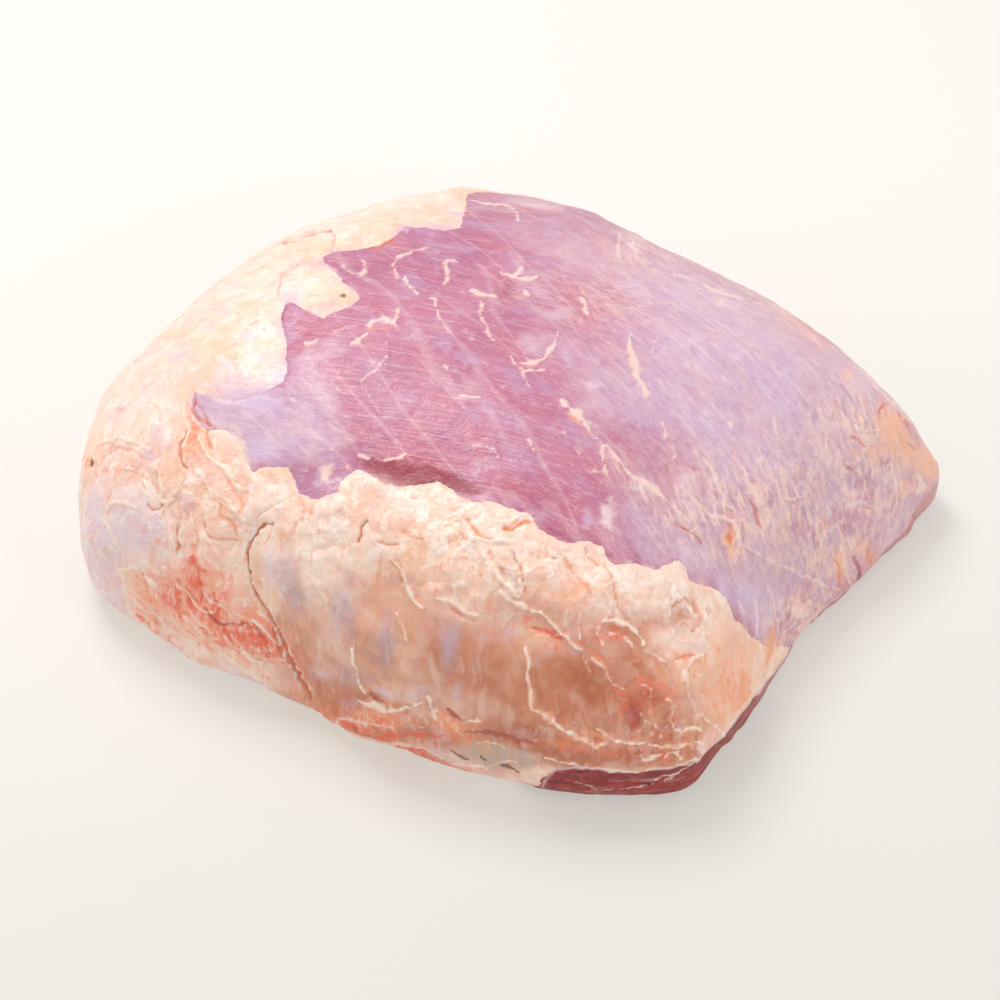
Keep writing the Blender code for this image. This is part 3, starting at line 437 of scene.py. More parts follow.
# Strokes: what it paints, half width in spots, strength, rise in millimetres, path
STROKES = (
    # Left end
    ("scar", 2.4, 1.0, -1.2, ((195, 392), (196, 402), (193, 410), (200, 418), (210, 425), (217, 430))),
    ("scar", 2.2, 0.9, -0.8, ((192, 430), (186, 433), (182, 441), (181, 452), (184, 464), (190, 470))),
    ("scar", 2.2, 0.9, -0.8, ((179, 524), (180, 538), (178, 553))),
    ("scar", 2.0, 0.8, -0.6, ((149, 503), (154, 508), (160, 508), (165, 503))),
    ("scar", 1.9, 0.6, -0.5, ((107, 451), (113, 447), (120, 444))),
    ("dark", 3.0, 0.9, -0.5, ((95, 460), (95, 468))),
    ("amber", 5.0, 0.8, 0.0, ((92, 460), (92, 468))),
    ("string", 3.0, 0.9, 0.8, ((163, 476), (164, 490), (163, 499), (168, 503), (175, 499))),
    ("string", 3.6, 0.8, 0.7, ((110, 508), (115, 503), (126, 502), (139, 508))),
    ("string", 2.4, 0.8, 0.6, ((110, 508), (109, 520), (114, 533), (121, 546), (128, 562))),
    ("string", 2.6, 0.6, 0.4, ((100, 470), (102, 490), (103, 510), (106, 526))),
    ("string", 2.4, 0.5, 0.4, ((88, 500), (90, 530), (97, 560), (106, 580), (120, 600), (134, 614))),
    ("string", 2.2, 0.6, 0.5, ((142, 502), (150, 520), (155, 538), (159, 552))),
    ("string", 2.4, 0.6, 0.5, ((168, 512), (173, 532), (177, 548))),
    ("string", 2.2, 0.5, 0.4, ((184, 500), (186, 520), (183, 536))),
    ("string", 2.0, 0.5, 0.4, ((207, 535), (215, 548), (226, 562), (238, 580))),
    ("amber", 2.4, 0.7, -0.5, ((206, 520), (209, 535), (222, 538), (239, 540))),
    ("amber", 3.0, 0.6, -0.4, ((221, 500), (223, 514), (231, 521), (238, 536))),
    ("amber", 3.0, 0.5, 0.3, ((188, 436), (197, 437), (204, 447), (211, 459))),
    ("string", 2.2, 0.7, 0.5, ((217, 432), (215, 445), (220, 462), (232, 478), (246, 492))),
    ("string", 2.2, 0.9, 0.6, ((225, 428), (234, 428), (241, 434))),
    ("scar", 1.8, 0.5, -0.4, ((160, 455), (162, 464), (160, 478), (157, 492))),
    # Red fibres at the left foot
    ("string", 2.4, 0.9, 0.8, ((121, 567), (128, 569), (136, 566), (145, 572), (151, 578), (159, 585))),
    ("string", 2.4, 0.8, 0.7, ((121, 570), (126, 583), (130, 600), (135, 613))),
    ("blood", 2.6, 0.9, -0.6, ((168, 578), (173, 592), (178, 602), (184, 614))),
    ("blood", 2.4, 0.8, -0.4, ((176, 574), (184, 588), (191, 600), (197, 612))),
    ("blood", 4.0, 0.8, -0.5, ((194, 556), (199, 573), (203, 590), (207, 602))),
    ("blood", 3.0, 0.9, -0.6, ((214, 592), (218, 604), (216, 618))),
    ("darkred", 2.2, 0.9, -0.4, ((206, 606), (212, 616), (222, 622), (236, 623), (250, 624), (263, 630))),
    ("blood", 3.0, 0.8, -0.5, ((226, 627), (232, 639), (241, 651))),
    ("blood", 4.0, 0.9, -0.7, ((243, 621), (252, 632), (261, 645), (268, 656))),
    ("scar", 3.0, 0.9, -0.9, ((273, 626), (278, 640), (284, 656))),
    ("blood", 3.0, 0.8, -0.5, ((256, 621), (262, 634), (265, 650))),
    ("string", 2.2, 0.8, 0.6, ((140, 577), (150, 577), (156, 585), (161, 598))),
    ("string", 2.0, 0.6, 0.5, ((163, 565), (168, 578), (173, 591), (179, 602))),
    ("string", 2.0, 0.6, 0.5, ((149, 598), (157, 610), (167, 618))),
    ("string", 2.0, 0.6, 0.5, ((186, 598), (194, 612), (204, 622), (215, 630))),
    ("string", 2.4, 0.9, 0.8, ((218, 640), (230, 651), (244, 664), (261, 674), (275, 687), (290, 699))),
    ("string", 2.2, 0.7, 0.5, ((232, 632), (244, 645), (258, 660), (270, 672))),
    ("blood", 2.2, 0.6, -0.5, ((138, 611), (150, 622), (161, 633), (172, 640))),
    ("amber", 2.2, 0.6, -0.5, ((172, 636), (184, 644), (198, 650), (212, 656))),
    ("string", 2.0, 0.6, 0.4, ((88, 566), (94, 584), (104, 598), (118, 611), (136, 624), (154, 639))),
    ("rose", 2.6, 0.8, 0.0, ((86, 562), (92, 578), (100, 594))),
    ("string", 1.9, 0.5, 0.4, ((222, 606), (234, 612), (248, 616), (262, 622))),
    ("string", 1.9, 0.5, 0.5, ((236, 590), (246, 602), (258, 610), (270, 618))),
    ("scar", 2.2, 0.7, -0.7, ((196, 402), (204, 412), (209, 424), (206, 436), (210, 448))),
    ("hot", 5.0, 0.8, 0.4, ((188, 402), (192, 414), (198, 424), (196, 438), (188, 450))),
    ("string", 3.0, 0.8, 0.7, ((186, 404), (184, 416), (190, 428), (186, 440))),
    ("string", 2.6, 0.8, 0.7, ((200, 440), (206, 452), (216, 462), (228, 470), (240, 482))),
    ("string", 2.4, 0.7, 0.6, ((196, 470), (206, 482), (214, 496), (226, 506), (238, 512))),
    ("hot", 3.4, 0.7, -0.5, ((222, 470), (230, 482), (238, 494), (244, 508))),
    ("string", 2.6, 0.8, 0.7, ((98, 446), (110, 441), (124, 439), (138, 444), (152, 450))),
    ("hot", 3.0, 0.6, -0.5, ((104, 456), (118, 450), (132, 450), (144, 457))),
    ("hot", 3.0, 0.6, -0.4, ((134, 466), (142, 476), (154, 482), (160, 494))),
    ("string", 2.4, 0.7, 0.6, ((126, 468), (138, 472), (148, 484), (150, 496))),
    ("amber", 2.6, 0.5, -0.4, ((150, 402), (160, 412), (164, 424))),
    ("amber", 2.4, 0.4, -0.3, ((170, 350), (182, 344), (190, 334))),
    ("rose", 3.0, 0.6, -0.3, ((212, 300), (226, 312), (238, 316))),
    ("amber", 2.2, 0.4, -0.3, ((228, 356), (236, 366), (232, 378))),
    ("scar", 2.0, 0.4, -0.5, ((246, 332), (252, 326), (262, 322))),
    ("string", 2.6, 0.6, 0.6, ((236, 514), (244, 524), (246, 540), (244, 556))),
    ("string", 2.4, 0.6, 0.5, ((190, 508), (196, 524), (204, 540), (210, 556), (222, 572))),
    ("hot", 3.4, 0.7, -0.4, ((196, 520), (200, 536), (196, 550), (198, 564))),
    ("string", 1.9, 0.8, 0.5, ((136, 596), (146, 606), (158, 612), (168, 624), (182, 630))),
    ("string", 1.9, 0.8, 0.5, ((178, 584), (190, 594), (200, 608), (214, 612))),
    ("string", 1.9, 0.8, 0.5, ((206, 590), (212, 600), (226, 606), (234, 618))),
    ("string", 1.9, 0.7, 0.5, ((226, 634), (236, 644), (248, 648), (256, 658), (268, 664))),
    ("string", 1.9, 0.7, 0.5, ((252, 618), (262, 622), (270, 634), (280, 642))),
    ("string", 1.9, 0.7, 0.5, ((184, 612), (196, 620), (206, 630), (220, 634))),
    ("darkred", 2.0, 0.7, -0.2, ((258, 628), (266, 640), (270, 652))),
    ("darkred", 2.0, 0.6, -0.2, ((186, 584), (192, 594), (200, 602))),
    ("blood", 3.0, 0.7, -0.2, ((290, 703), (330, 727), (370, 746), (410, 761), (450, 773), (490, 782), (520, 788))),
    ("blood", 2.4, 0.6, -0.2, ((130, 622), (150, 636), (168, 645), (188, 654), (210, 668), (240, 682), (270, 695))),
    ("rose", 3.0, 0.8, 0.3, ((300, 694), (340, 720), (380, 738), (420, 750))),
    ("darkred", 2.2, 0.7, -0.3, ((292, 700), (326, 716), (352, 730), (384, 744), (420, 755))),
    ("scar", 2.6, 0.8, -0.4, ((340, 728), (362, 738), (384, 750), (410, 758), (440, 764))),
    ("hot", 4.0, 0.8, 0.2, ((280, 694), (310, 708), (340, 722), (372, 736), (404, 748))),
    ("string", 2.0, 0.8, 0.4, ((276, 688), (304, 703), (332, 716), (362, 729), (392, 740))),
    ("string", 2.0, 0.7, 0.5, ((166, 628), (182, 632), (200, 642), (216, 654))),
    ("blood", 2.2, 0.7, -0.3, ((150, 632), (170, 646), (190, 655), (214, 664))),
    # The left crease
    ("scar", 2.2, 0.9, -1.6, ((273, 524), (264, 526), (257, 533), (251, 543), (249, 554), (251, 572))),
    ("scar", 2.0, 0.8, -1.4, ((251, 572), (255, 588), (261, 601), (270, 611), (278, 624))),
    ("scar", 2.6, 1.0, -1.6, ((279, 628), (285, 642), (291, 656), (299, 671), (307, 684), (315, 697))),
    # Front, left half
    ("amber", 3.4, 0.6, 0.0, ((262, 519), (258, 526), (252, 533))),
    ("string", 2.8, 0.7, 0.5, ((316, 556), (318, 572), (320, 588), (327, 602))),
    ("scar", 2.2, 0.9, -1.0, ((368, 521), (362, 530), (358, 542))),
    ("amber", 2.4, 0.8, -0.6, ((378, 541), (390, 543), (401, 545))),
    ("string", 2.6, 1.0, 1.2, ((393, 557), (400, 568), (408, 580), (413, 594), (418, 604), (424, 606))),
    ("amber", 2.6, 0.8, -0.6, ((398, 558), (402, 572), (402, 584))),
    ("string", 2.2, 0.8, 0.6, ((422, 522), (428, 527), (434, 531))),
    ("amber", 3.4, 0.5, -0.4, ((384, 555), (379, 570), (376, 586))),
    ("string", 2.4, 0.9, 0.9, ((354, 648), (359, 664), (361, 680), (368, 692))),
    ("string", 2.2, 1.0, 1.0, ((360, 696), (367, 699), (377, 701), (388, 706), (400, 707), (412, 705), (424, 701))),
    ("darkred", 2.2, 0.9, -0.4, ((371, 690), (376, 697), (384, 701))),
    ("string", 3.6, 0.8, 1.0, ((429, 695), (433, 706), (437, 719))),
    ("amber", 3.6, 0.9, 0.8, ((438, 706), (446, 715), (456, 725), (463, 733))),
    # Painted shadow beside the flap's fold
    ("darkred", 2.8, 1.0, -0.6, ((446, 707), (454, 713), (464, 719))),
    ("string", 2.2, 0.9, 0.8, ((462, 722), (470, 718), (481, 719))),
    ("blood", 2.4, 0.8, -0.8, ((298, 702), (320, 712), (341, 718), (361, 723), (380, 731),
        (401, 735), (421, 733), (446, 735))),
    ("string", 2.2, 0.6, 0.5, ((296, 696), (316, 706), (338, 714), (360, 716), (384, 722))),
    ("darkred", 2.2, 0.7, -0.3, ((356, 723), (371, 731), (386, 739), (396, 745))),
    ("blood", 2.6, 0.9, -0.5, ((404, 749), (415, 754), (429, 761))),
    ("string", 2.0, 0.7, 0.5, ((388, 738), (404, 742), (424, 748), (446, 756))),
    ("darkred", 1.9, 0.6, -0.2, ((330, 722), (350, 733), (372, 743), (392, 750))),
    ("terra", 2.0, 0.8, -0.4, ((440, 646), (440, 660), (441, 674))),
    ("terra", 4.0, 0.6, -0.3, ((436, 620), (436, 645), (438, 668))),
    ("scar", 1.9, 0.5, -0.5, ((378, 678), (381, 690))),
    ("string", 2.4, 0.5, 0.4, ((398, 612), (404, 626), (408, 640))),
    ("amber", 2.6, 0.6, -0.5, ((300, 498), (306, 508), (304, 520))),
    # Front crest and the middle
    ("amber", 2.4, 0.8, -0.8, ((468, 518), (475, 530), (484, 538), (493, 541))),
    ("amber", 2.8, 1.0, -1.0, ((504, 530), (515, 529), (525, 526), (535, 524))),
    ("string", 2.4, 0.9, 0.8, ((504, 524), (516, 522), (530, 517))),
    ("string", 2.6, 0.8, 0.9, ((476, 538), (484, 554), (492, 567), (500, 579), (510, 588), (519, 596))),
    ("grey", 5.0, 0.6, -1.0, ((500, 568), (508, 578), (518, 588))),
    ("amber", 2.4, 0.7, -0.9, ((512, 552), (516, 561), (520, 570), (522, 582), (526, 593))),
    ("string", 2.4, 0.8, 0.8, ((438, 597), (453, 602), (468, 610), (480, 616))),
    ("blood", 2.4, 0.5, -0.5, ((452, 608), (466, 615), (478, 621))),
    ("string", 3.6, 0.9, 0.9, ((500, 590), (510, 598), (520, 604), (531, 610), (541, 612))),
    ("string", 3.0, 0.7, 1.3, ((540, 611), (552, 624), (565, 637), (579, 649))),
    ("blood", 3.0, 0.9, -0.9, ((534, 627), (547, 632), (558, 638))),
    ("amber", 2.2, 0.7, -0.5, ((560, 556), (570, 568), (580, 580), (592, 594))),
    ("amber", 2.2, 0.6, -0.6, ((602, 556), (605, 570), (611, 584), (616, 600))),
    ("amber", 2.2, 0.6, -0.6, ((615, 598), (620, 610), (628, 620))),
    ("string", 2.8, 1.0, 1.2, ((603, 620), (616, 621), (628, 626), (636, 634), (643, 643))),
    ("scar", 2.8, 0.7, -0.9, ((606, 626), (618, 629), (630, 636), (636, 646))),
    ("string", 2.4, 0.6, 0.6, ((452, 524), (462, 530), (474, 540))),
    ("amber", 2.4, 0.6, -0.6, ((404, 530), (412, 536), (424, 538))),
    ("string", 2.4, 0.6, 0.7, ((544, 545), (552, 556), (566, 560))),
    ("amber", 2.4, 0.6, -0.7, ((584, 548), (590, 560), (600, 568))),
    # Front foot
    ("apricot", 3.0, 0.8, 0.8, ((526, 646), (528, 664), (529, 680), (531, 696), (533, 706), (539, 711))),
    ("apricot", 4.2, 0.8, 0.9, ((539, 711), (551, 716), (561, 724), (571, 732), (582, 738), (596, 742), (605, 742))),
    ("amber", 2.6, 0.7, -0.6, ((548, 710), (560, 716), (572, 725), (586, 731), (602, 734))),
    # Painted shadow in the gully under the flap
    ("darkred", 2.6, 0.8, -0.6, ((462, 731), (480, 731), (500, 733), (520, 737), (541, 742))),
    ("dark", 2.0, 1.0, -0.4, ((452, 750), (460, 755), (469, 759))),
    ("dark", 2.4, 1.0, -0.4, ((482, 754), (489, 759))),
    ("dark", 2.0, 1.0, -0.4, ((503, 763), (511, 768), (519, 773))),
    ("string", 2.0, 0.8, 0.5, ((454, 761), (470, 765), (486, 765), (499, 762), (511, 758), (521, 762))),
    ("string", 2.2, 0.6, 0.5, ((478, 743), (494, 741), (506, 746))),
    ("blood", 2.6, 0.7, -0.4, ((518, 782), (533, 786), (547, 785))),
    ("string", 2.0, 0.9, 0.8, ((546, 755), (562, 759), (580, 764), (601, 768), (626, 770),
        (651, 767), (676, 763), (701, 758))),
    ("terra", 2.4, 0.8, -0.6, ((604, 748), (622, 752), (640, 760), (662, 760))),
    ("string", 1.7, 0.9, 0.4, ((940, 484), (926, 510), (906, 540), (882, 570), (856, 596),
        (826, 622), (800, 650), (780, 680), (756, 712))),
    ("string", 1.7, 0.7, 0.3, ((930, 512), (912, 542), (890, 568), (862, 600), (836, 622))),
    ("darkred", 2.0, 0.8, -0.2, ((934, 500), (918, 526), (898, 552), (874, 578), (848, 602), (818, 632), (794, 662))),
    ("string", 1.4, 0.5, 0.4, ((566, 778), (590, 785), (616, 788), (646, 785), (672, 776))),
    ("string", 1.8, 0.6, 0.3, ((650, 780), (676, 772), (694, 764), (706, 752))),
    ("hot", 3.0, 0.6, -0.4, ((566, 640), (590, 650), (604, 664), (612, 682))),
    ("string", 2.4, 0.6, 0.6, ((590, 655), (604, 666), (612, 682), (628, 690))),
    ("hot", 4.0, 0.3, -0.3, ((560, 722), (584, 730), (606, 734), (634, 734), (660, 740))),
    ("apricot", 3.4, 0.7, 0.7, ((596, 728), (616, 738), (640, 740), (664, 744), (690, 742))),
    ("apricot", 2.8, 0.6, 0.6, ((640, 714), (652, 722), (660, 734))),
    ("apricot", 2.8, 0.6, 0.6, ((664, 696), (672, 706), (670, 720), (680, 730))),
    ("scar", 2.2, 0.7, -0.7, ((650, 728), (664, 734), (676, 742))),
    ("amber", 3.0, 0.7, -0.4, ((700, 690), (712, 704), (718, 722))),
    ("amber", 3.0, 0.6, -0.4, ((640, 650), (656, 664), (662, 680))),
    ("string", 2.0, 0.6, 0.5, ((668, 630), (676, 640), (690, 642), (700, 650))),
    # Front right
    ("scar", 5.0, 0.6, -0.9, ((671, 606), (682, 600), (692, 608), (697, 622), (689, 633))),
    ("string", 3.0, 0.8, 0.6, ((688, 614), (691, 619))),
    ("string", 2.6, 0.5, 0.7, ((653, 653), (661, 660), (671, 669))),
    ("string", 2.8, 0.7, 0.8, ((701, 654), (690, 662), (682, 672), (684, 686))),
    ("scar", 2.6, 0.7, -0.6, ((674, 661), (684, 657), (694, 656))),
    ("string", 3.4, 0.45, 0.8, ((682, 672), (686, 688), (692, 702), (697, 718), (700, 731))),
    ("string", 2.2, 0.9, 0.8, ((698, 713), (711, 724), (723, 736))),
    ("amber", 4.0, 0.6, -0.4, ((720, 668), (722, 685), (728, 700))),
    ("amber", 3.4, 0.5, -0.3, ((741, 668), (740, 686), (744, 700))),
    ("string", 2.6, 0.5, 0.3, ((732, 650), (733, 668), (736, 686))),
    ("string", 2.6, 0.6, 0.4, ((752, 650), (752, 668), (748, 688))),
    ("darkred", 3.0, 0.8, -0.3, ((630, 706), (636, 716), (632, 728))),
    ("string", 2.4, 0.4, 0.6, ((640, 684), (650, 690), (648, 700))),
    ("darkred", 2.2, 0.9, -0.3, ((636, 742), (637, 750), (643, 752))),
    ("string", 2.4, 1.0, 1.0, ((638, 754), (646, 756), (653, 752), (660, 750))),
    ("string", 2.6, 0.8, 0.8, ((664, 753), (672, 748), (680, 757))),
    ("string", 2.8, 0.9, 0.9, ((681, 729), (689, 725), (697, 729))),
    ("scar", 2.4, 0.8, -0.8, ((682, 736), (688, 744), (684, 752))),
    ("string", 3.0, 0.8, 0.8, ((694, 740), (702, 744), (703, 754))),
    ("string", 2.4, 0.6, 0.5, ((716, 738), (734, 714), (752, 692), (768, 670))),
    # Lobes at the upper left
    ("scar", 2.0, 0.8, -1.0, ((284, 245), (298, 243), (309, 238), (320, 235), (331, 232))),
    ("veil", 2.0, 0.9, -0.9, ((332, 233), (335, 241), (331, 250), (330, 257))),
    ("veil", 2.0, 0.8, -1.1, ((278, 300), (280, 284), (286, 272), (297, 264), (312, 262),
        (328, 265), (338, 275), (347, 281))),
    ("amber", 2.4, 0.6, 0.5, ((286, 278), (292, 270), (304, 267))),
    ("amber", 2.2, 0.6, 0.5, ((326, 268), (334, 275), (342, 282))),
    ("scar", 2.6, 1.0, -1.0, ((370, 250), (376, 250), (383, 247), (394, 242))),
    ("dark", 3.0, 0.8, -0.5, ((342, 297), (346, 297))),
    ("veil", 1.9, 0.8, -0.5, ((402, 227), (409, 234))),
    ("string", 2.4, 0.6, 0.5, ((250, 262), (268, 256), (288, 252), (306, 250))),
    ("amber", 2.0, 0.4, -0.4, ((262, 268), (276, 270))),
    # Strands on the lean, left
    ("string", 3.6, 1.0, 0.9, ((368, 326), (378, 322), (388, 322), (396, 326))),
    ("amber", 2.2, 0.9, 0.0, ((370, 329), (381, 330), (391, 328))),
    ("string", 1.9, 0.6, 0.4, ((334, 336), (345, 330), (356, 326))),
    ("string", 2.8, 0.9, 0.6, ((352, 347), (360, 342), (368, 335))),
    ("string", 2.6, 0.8, 0.6, ((397, 308), (398, 316), (394, 326))),
    ("string", 2.2, 0.8, 0.5, ((385, 343), (388, 352), (386, 358))),
    ("string", 1.9, 0.7, 0.4, ((388, 354), (382, 365), (372, 374), (361, 383))),
    ("string", 1.9, 0.5, 0.2, ((362, 384), (367, 393), (378, 410), (390, 427), (397, 437))),
    ("string", 3.4, 0.8, 0.7, ((402, 256), (397, 262), (394, 270), (397, 278))),
    ("amber", 2.2, 0.7, 0.2, ((394, 264), (393, 274), (395, 281))),
    ("string", 2.8, 1.0, 0.8, ((404, 277), (408, 285), (413, 293), (417, 295))),
    ("string", 2.2, 0.7, 0.5, ((404, 256), (416, 252), (430, 249))),
    ("string", 3.2, 0.9, 0.8, ((462, 263), (452, 264), (446, 267), (448, 276), (445, 286))),
    ("amber", 2.0, 0.7, 0.0, ((444, 265), (443, 275))),
    ("string", 2.4, 0.9, 0.6, ((431, 299), (436, 303), (436, 312))),
    ("string", 2.0, 0.7, 0.4, ((437, 312), (441, 321), (447, 330), (453, 337))),
    ("string", 4.4, 1.0, 0.7, ((446, 367), (448, 371))),
    ("string", 1.9, 0.5, 0.3, ((449, 374), (452, 384))),
    ("string", 2.0, 0.9, 0.5, ((460, 400), (468, 398), (480, 400))),
    ("string", 1.9, 0.4, 0.2, ((418, 419), (434, 410), (448, 404), (460, 400))),
    ("string", 1.9, 0.35, 0.2, ((480, 400), (495, 393), (512, 383))),
    ("string", 2.6, 0.9, 0.6, ((304, 344), (312, 344), (319, 341))),
    ("string", 2.2, 0.6, 0.4, ((338, 391), (346, 396))),
    ("string", 2.2, 0.7, 0.4, ((328, 449), (336, 452))),
    ("string", 2.2, 1.0, 0.6, ((360, 455), (368, 460), (380, 461), (393, 460), (405, 455))),
    ("string", 2.8, 0.8, 0.6, ((343, 268), (352, 274), (361, 275), (364, 266), (358, 257))),
    ("amber", 2.6, 0.9, 0.0, ((345, 467), (350, 466))),
    ("string", 1.9, 0.4, 0.1, ((400, 320), (412, 336), (424, 352))),
    ("string", 1.9, 0.4, 0.1, ((452, 312), (468, 336), (484, 362), (498, 386))),
    ("string", 1.9, 0.35, 0.1, ((366, 292), (380, 312), (392, 330))),
    ("string", 1.9, 0.3, 0.1, ((500, 240), (522, 262), (548, 292))),
    # Painted glint: whitish arcs of highlight on the lean
    ("pale", 2.6, 0.6, 0.2, ((463, 450), (480, 447), (492, 452), (499, 461))),
    # Strands on the lean, middle
    ("string", 4.0, 1.0, 1.0, ((469, 291), (476, 292), (484, 296), (494, 297))),
    ("string", 2.6, 0.9, 0.6, ((482, 300), (481, 310), (476, 315))),
    ("string", 2.6, 0.9, 0.6, ((480, 316), (484, 326), (488, 335), (495, 343))),
    ("string", 2.8, 1.0, 0.9, ((500, 276), (506, 277), (512, 279), (518, 274), (521, 270))),
    ("string", 2.4, 1.0, 0.7, ((512, 279), (521, 281), (531, 281), (539, 279))),
    ("string", 2.8, 0.8, 0.6, ((524, 291), (529, 299))),
    ("string", 3.8, 1.0, 0.8, ((581, 299), (583, 308), (587, 316))),
    ("string", 2.8, 1.0, 0.7, ((557, 333), (553, 345), (548, 354), (540, 362), (529, 365), (518, 364))),
    ("string", 3.4, 1.0, 0.7, ((510, 357), (516, 368), (525, 372), (536, 371), (544, 373))),
    ("string", 2.4, 0.8, 0.5, ((520, 374), (526, 384), (531, 389))),
    ("string", 4.2, 1.0, 1.1, ((561, 402), (570, 412), (580, 420), (589, 431))),
    ("amber", 2.2, 0.9, 0.2, ((566, 414), (575, 424), (587, 435))),
    ("string", 3.0, 0.9, 0.8, ((589, 431), (598, 442), (609, 452), (620, 464), (628, 474))),
    ("string", 4.6, 0.9, 0.8, ((628, 474), (640, 483), (652, 491), (664, 500))),
    ("string", 2.2, 0.7, 0.5, ((664, 500), (674, 510), (688, 521))),
    ("string", 2.0, 0.8, 0.4, ((599, 444), (600, 457), (603, 470), (608, 479))),
    ("string", 2.0, 0.6, 0.3, ((589, 475), (598, 472), (607, 473))),
    ("string", 2.4, 0.9, 0.5, ((524, 436), (530, 442), (534, 452))),
    ("string", 2.0, 0.7, 0.4, ((561, 430), (568, 442), (574, 450), (581, 461))),
    ("scar", 2.2, 0.6, -0.3, ((599, 529), (608, 533), (618, 537))),
    # Back rim
    ("pale", 2.2, 0.9, 0.4, ((468, 199), (489, 203), (507, 205), (516, 213), (519, 224))),
    ("scar", 2.0, 0.8, -0.4, ((518, 203), (527, 210), (535, 216))),
    ("string", 2.8, 0.8, 0.5, ((619, 236), (617, 250), (620, 264))),
    ("string", 2.0, 0.7, 0.4, ((630, 240), (634, 252), (637, 264))),
    ("scar", 1.9, 0.5, -0.2, ((598, 217), (610, 226), (618, 232))),
    ("string", 1.9, 0.6, 0.3, ((650, 272), (690, 281), (722, 294), (762, 308))),
    ("string", 1.9, 0.5, 0.3, ((700, 286), (728, 296), (748, 302), (730, 311))),
    ("string", 1.9, 0.5, 0.3, ((680, 250), (712, 268), (742, 284))),
    ("scar", 1.9, 0.5, -0.2, ((699, 345), (712, 340))),
    ("scar", 1.9, 0.4, -0.2, ((730, 338), (752, 342))),
    # Right half of the lean
    ("string", 4.8, 1.0, 1.0, ((630, 338), (629, 352), (633, 366), (638, 380), (646, 396))),
    ("amber", 2.2, 0.9, 0.2, ((626, 350), (629, 366), (634, 380))),
    ("string", 2.2, 0.8, 0.5, ((656, 340), (650, 353))),
    ("string", 2.0, 0.6, 0.3, ((658, 382), (668, 395), (676, 404))),
    ("string", 2.2, 0.8, 0.5, ((659, 421), (664, 432), (662, 441))),
    ("string", 2.0, 0.6, 0.4, ((671, 438), (674, 454), (668, 462), (660, 464))),
    ("string", 2.8, 0.9, 0.6, ((728, 423), (731, 434))),
    ("scar", 1.9, 0.6, -0.5, ((664, 474), (668, 464), (684, 466), (700, 472))),
    ("string", 3.6, 0.9, 1.1, ((700, 461), (708, 470), (714, 479), (718, 490), (722, 500), (730, 511), (739, 524))),
    ("scar", 2.2, 0.7, -0.6, ((712, 486), (716, 500), (724, 512))),
    ("string", 4.4, 0.8, 0.9, ((740, 477), (750, 486), (757, 497), (756, 505))),
    ("scar", 2.6, 0.9, -1.0, ((749, 502), (754, 515), (761, 530))),
    ("string", 3.2, 0.9, 0.9, ((712, 517), (724, 520), (735, 530), (738, 545), (734, 562))),
    ("scar", 3.0, 0.9, -0.7, ((728, 527), (728, 536), (731, 545))),
    ("scar", 2.2, 0.9, -0.8, ((673, 525), (682, 529), (690, 535), (699, 543))),
    ("string", 2.2, 0.8, 0.6, ((690, 500), (699, 507), (706, 513), (713, 519))),
    ("string", 1.9, 0.7, 0.5, ((772, 416), (776, 440), (779, 460), (782, 480), (786, 495))),
    ("string", 2.6, 0.9, 0.9, ((781, 499), (791, 498), (801, 496), (806, 486), (812, 473))),
    ("string", 2.8, 0.8, 0.7, ((760, 503), (767, 514), (765, 529))),
    ("string", 2.8, 0.7, 0.6, ((742, 547), (760, 556), (780, 565), (801, 575), (822, 584), (840, 590))),
    ("string", 2.4, 0.7, 0.6, ((806, 598), (812, 613), (816, 621))),
    ("string", 2.4, 0.7, 0.6, ((792, 600), (800, 604), (808, 600))),
    ("amber", 2.2, 0.8, -0.6, ((787, 628), (796, 633), (804, 630))),
    ("string", 2.0, 0.8, 0.3, ((752, 598), (754, 615), (755, 636))),
    ("string", 2.0, 0.7, 0.3, ((738, 600), (741, 614), (744, 630))),
    ("string", 2.0, 0.6, 0.3, ((766, 600), (767, 616), (764, 634))),
    ("amber", 3.4, 0.9, 0.4, ((771, 628), (769, 645), (764, 662))),
    ("string", 2.6, 0.8, 0.7, ((838, 546), (842, 560), (846, 575), (851, 587))),
    ("scar", 2.4, 0.7, -0.4, ((834, 560), (838, 576), (836, 590))),
    ("darkred", 3.0, 0.9, -0.3, ((852, 556), (857, 568), (858, 581))),
    ("scar", 2.6, 0.6, -0.5, ((864, 548), (868, 560), (866, 570))),
    ("amber", 2.2, 0.8, -0.5, ((817, 517), (825, 525), (818, 530))),
    ("scar", 2.2, 0.7, -0.5, ((857, 506), (863, 509), (870, 509), (874, 518))),
    ("string", 2.4, 0.8, 0.6, ((846, 506), (855, 501), (864, 503))),
    ("string", 2.4, 0.9, 0.7, ((853, 426), (858, 431), (868, 431), (879, 429))),
    ("scar", 2.4, 0.8, -0.7, ((846, 437), (856, 440), (864, 447))),
    ("string", 2.4, 0.7, 0.6, ((877, 432), (872, 442), (862, 450), (854, 462), (845, 466))),
    ("scar", 2.2, 0.7, -0.5, ((842, 464), (850, 470), (856, 476))),
    ("string", 2.4, 0.7, 0.5, ((825, 438), (823, 456))),
    ("scar", 2.0, 0.7, -0.4, ((828, 410), (833, 405), (837, 402))),
    ("scar", 2.6, 0.9, -0.8, ((884, 404), (877, 411), (878, 420))),
    ("scar", 2.6, 0.9, -0.7, ((897, 414), (905, 425), (911, 438))),
    ("scar", 2.2, 0.8, -0.6, ((906, 443), (913, 451))),
    ("scar", 2.4, 0.6, -0.4, ((915, 430), (922, 440), (928, 450))),
    ("string", 2.0, 0.8, 0.5, ((862, 370), (872, 385), (886, 400), (901, 414), (916, 430), (931, 450), (943, 470))),
    ("string", 3.0, 0.9, 0.9, ((913, 474), (917, 484), (913, 494))),
    ("amber", 3.0, 1.0, 0.8, ((922, 462), (932, 468), (941, 476), (937, 490))),
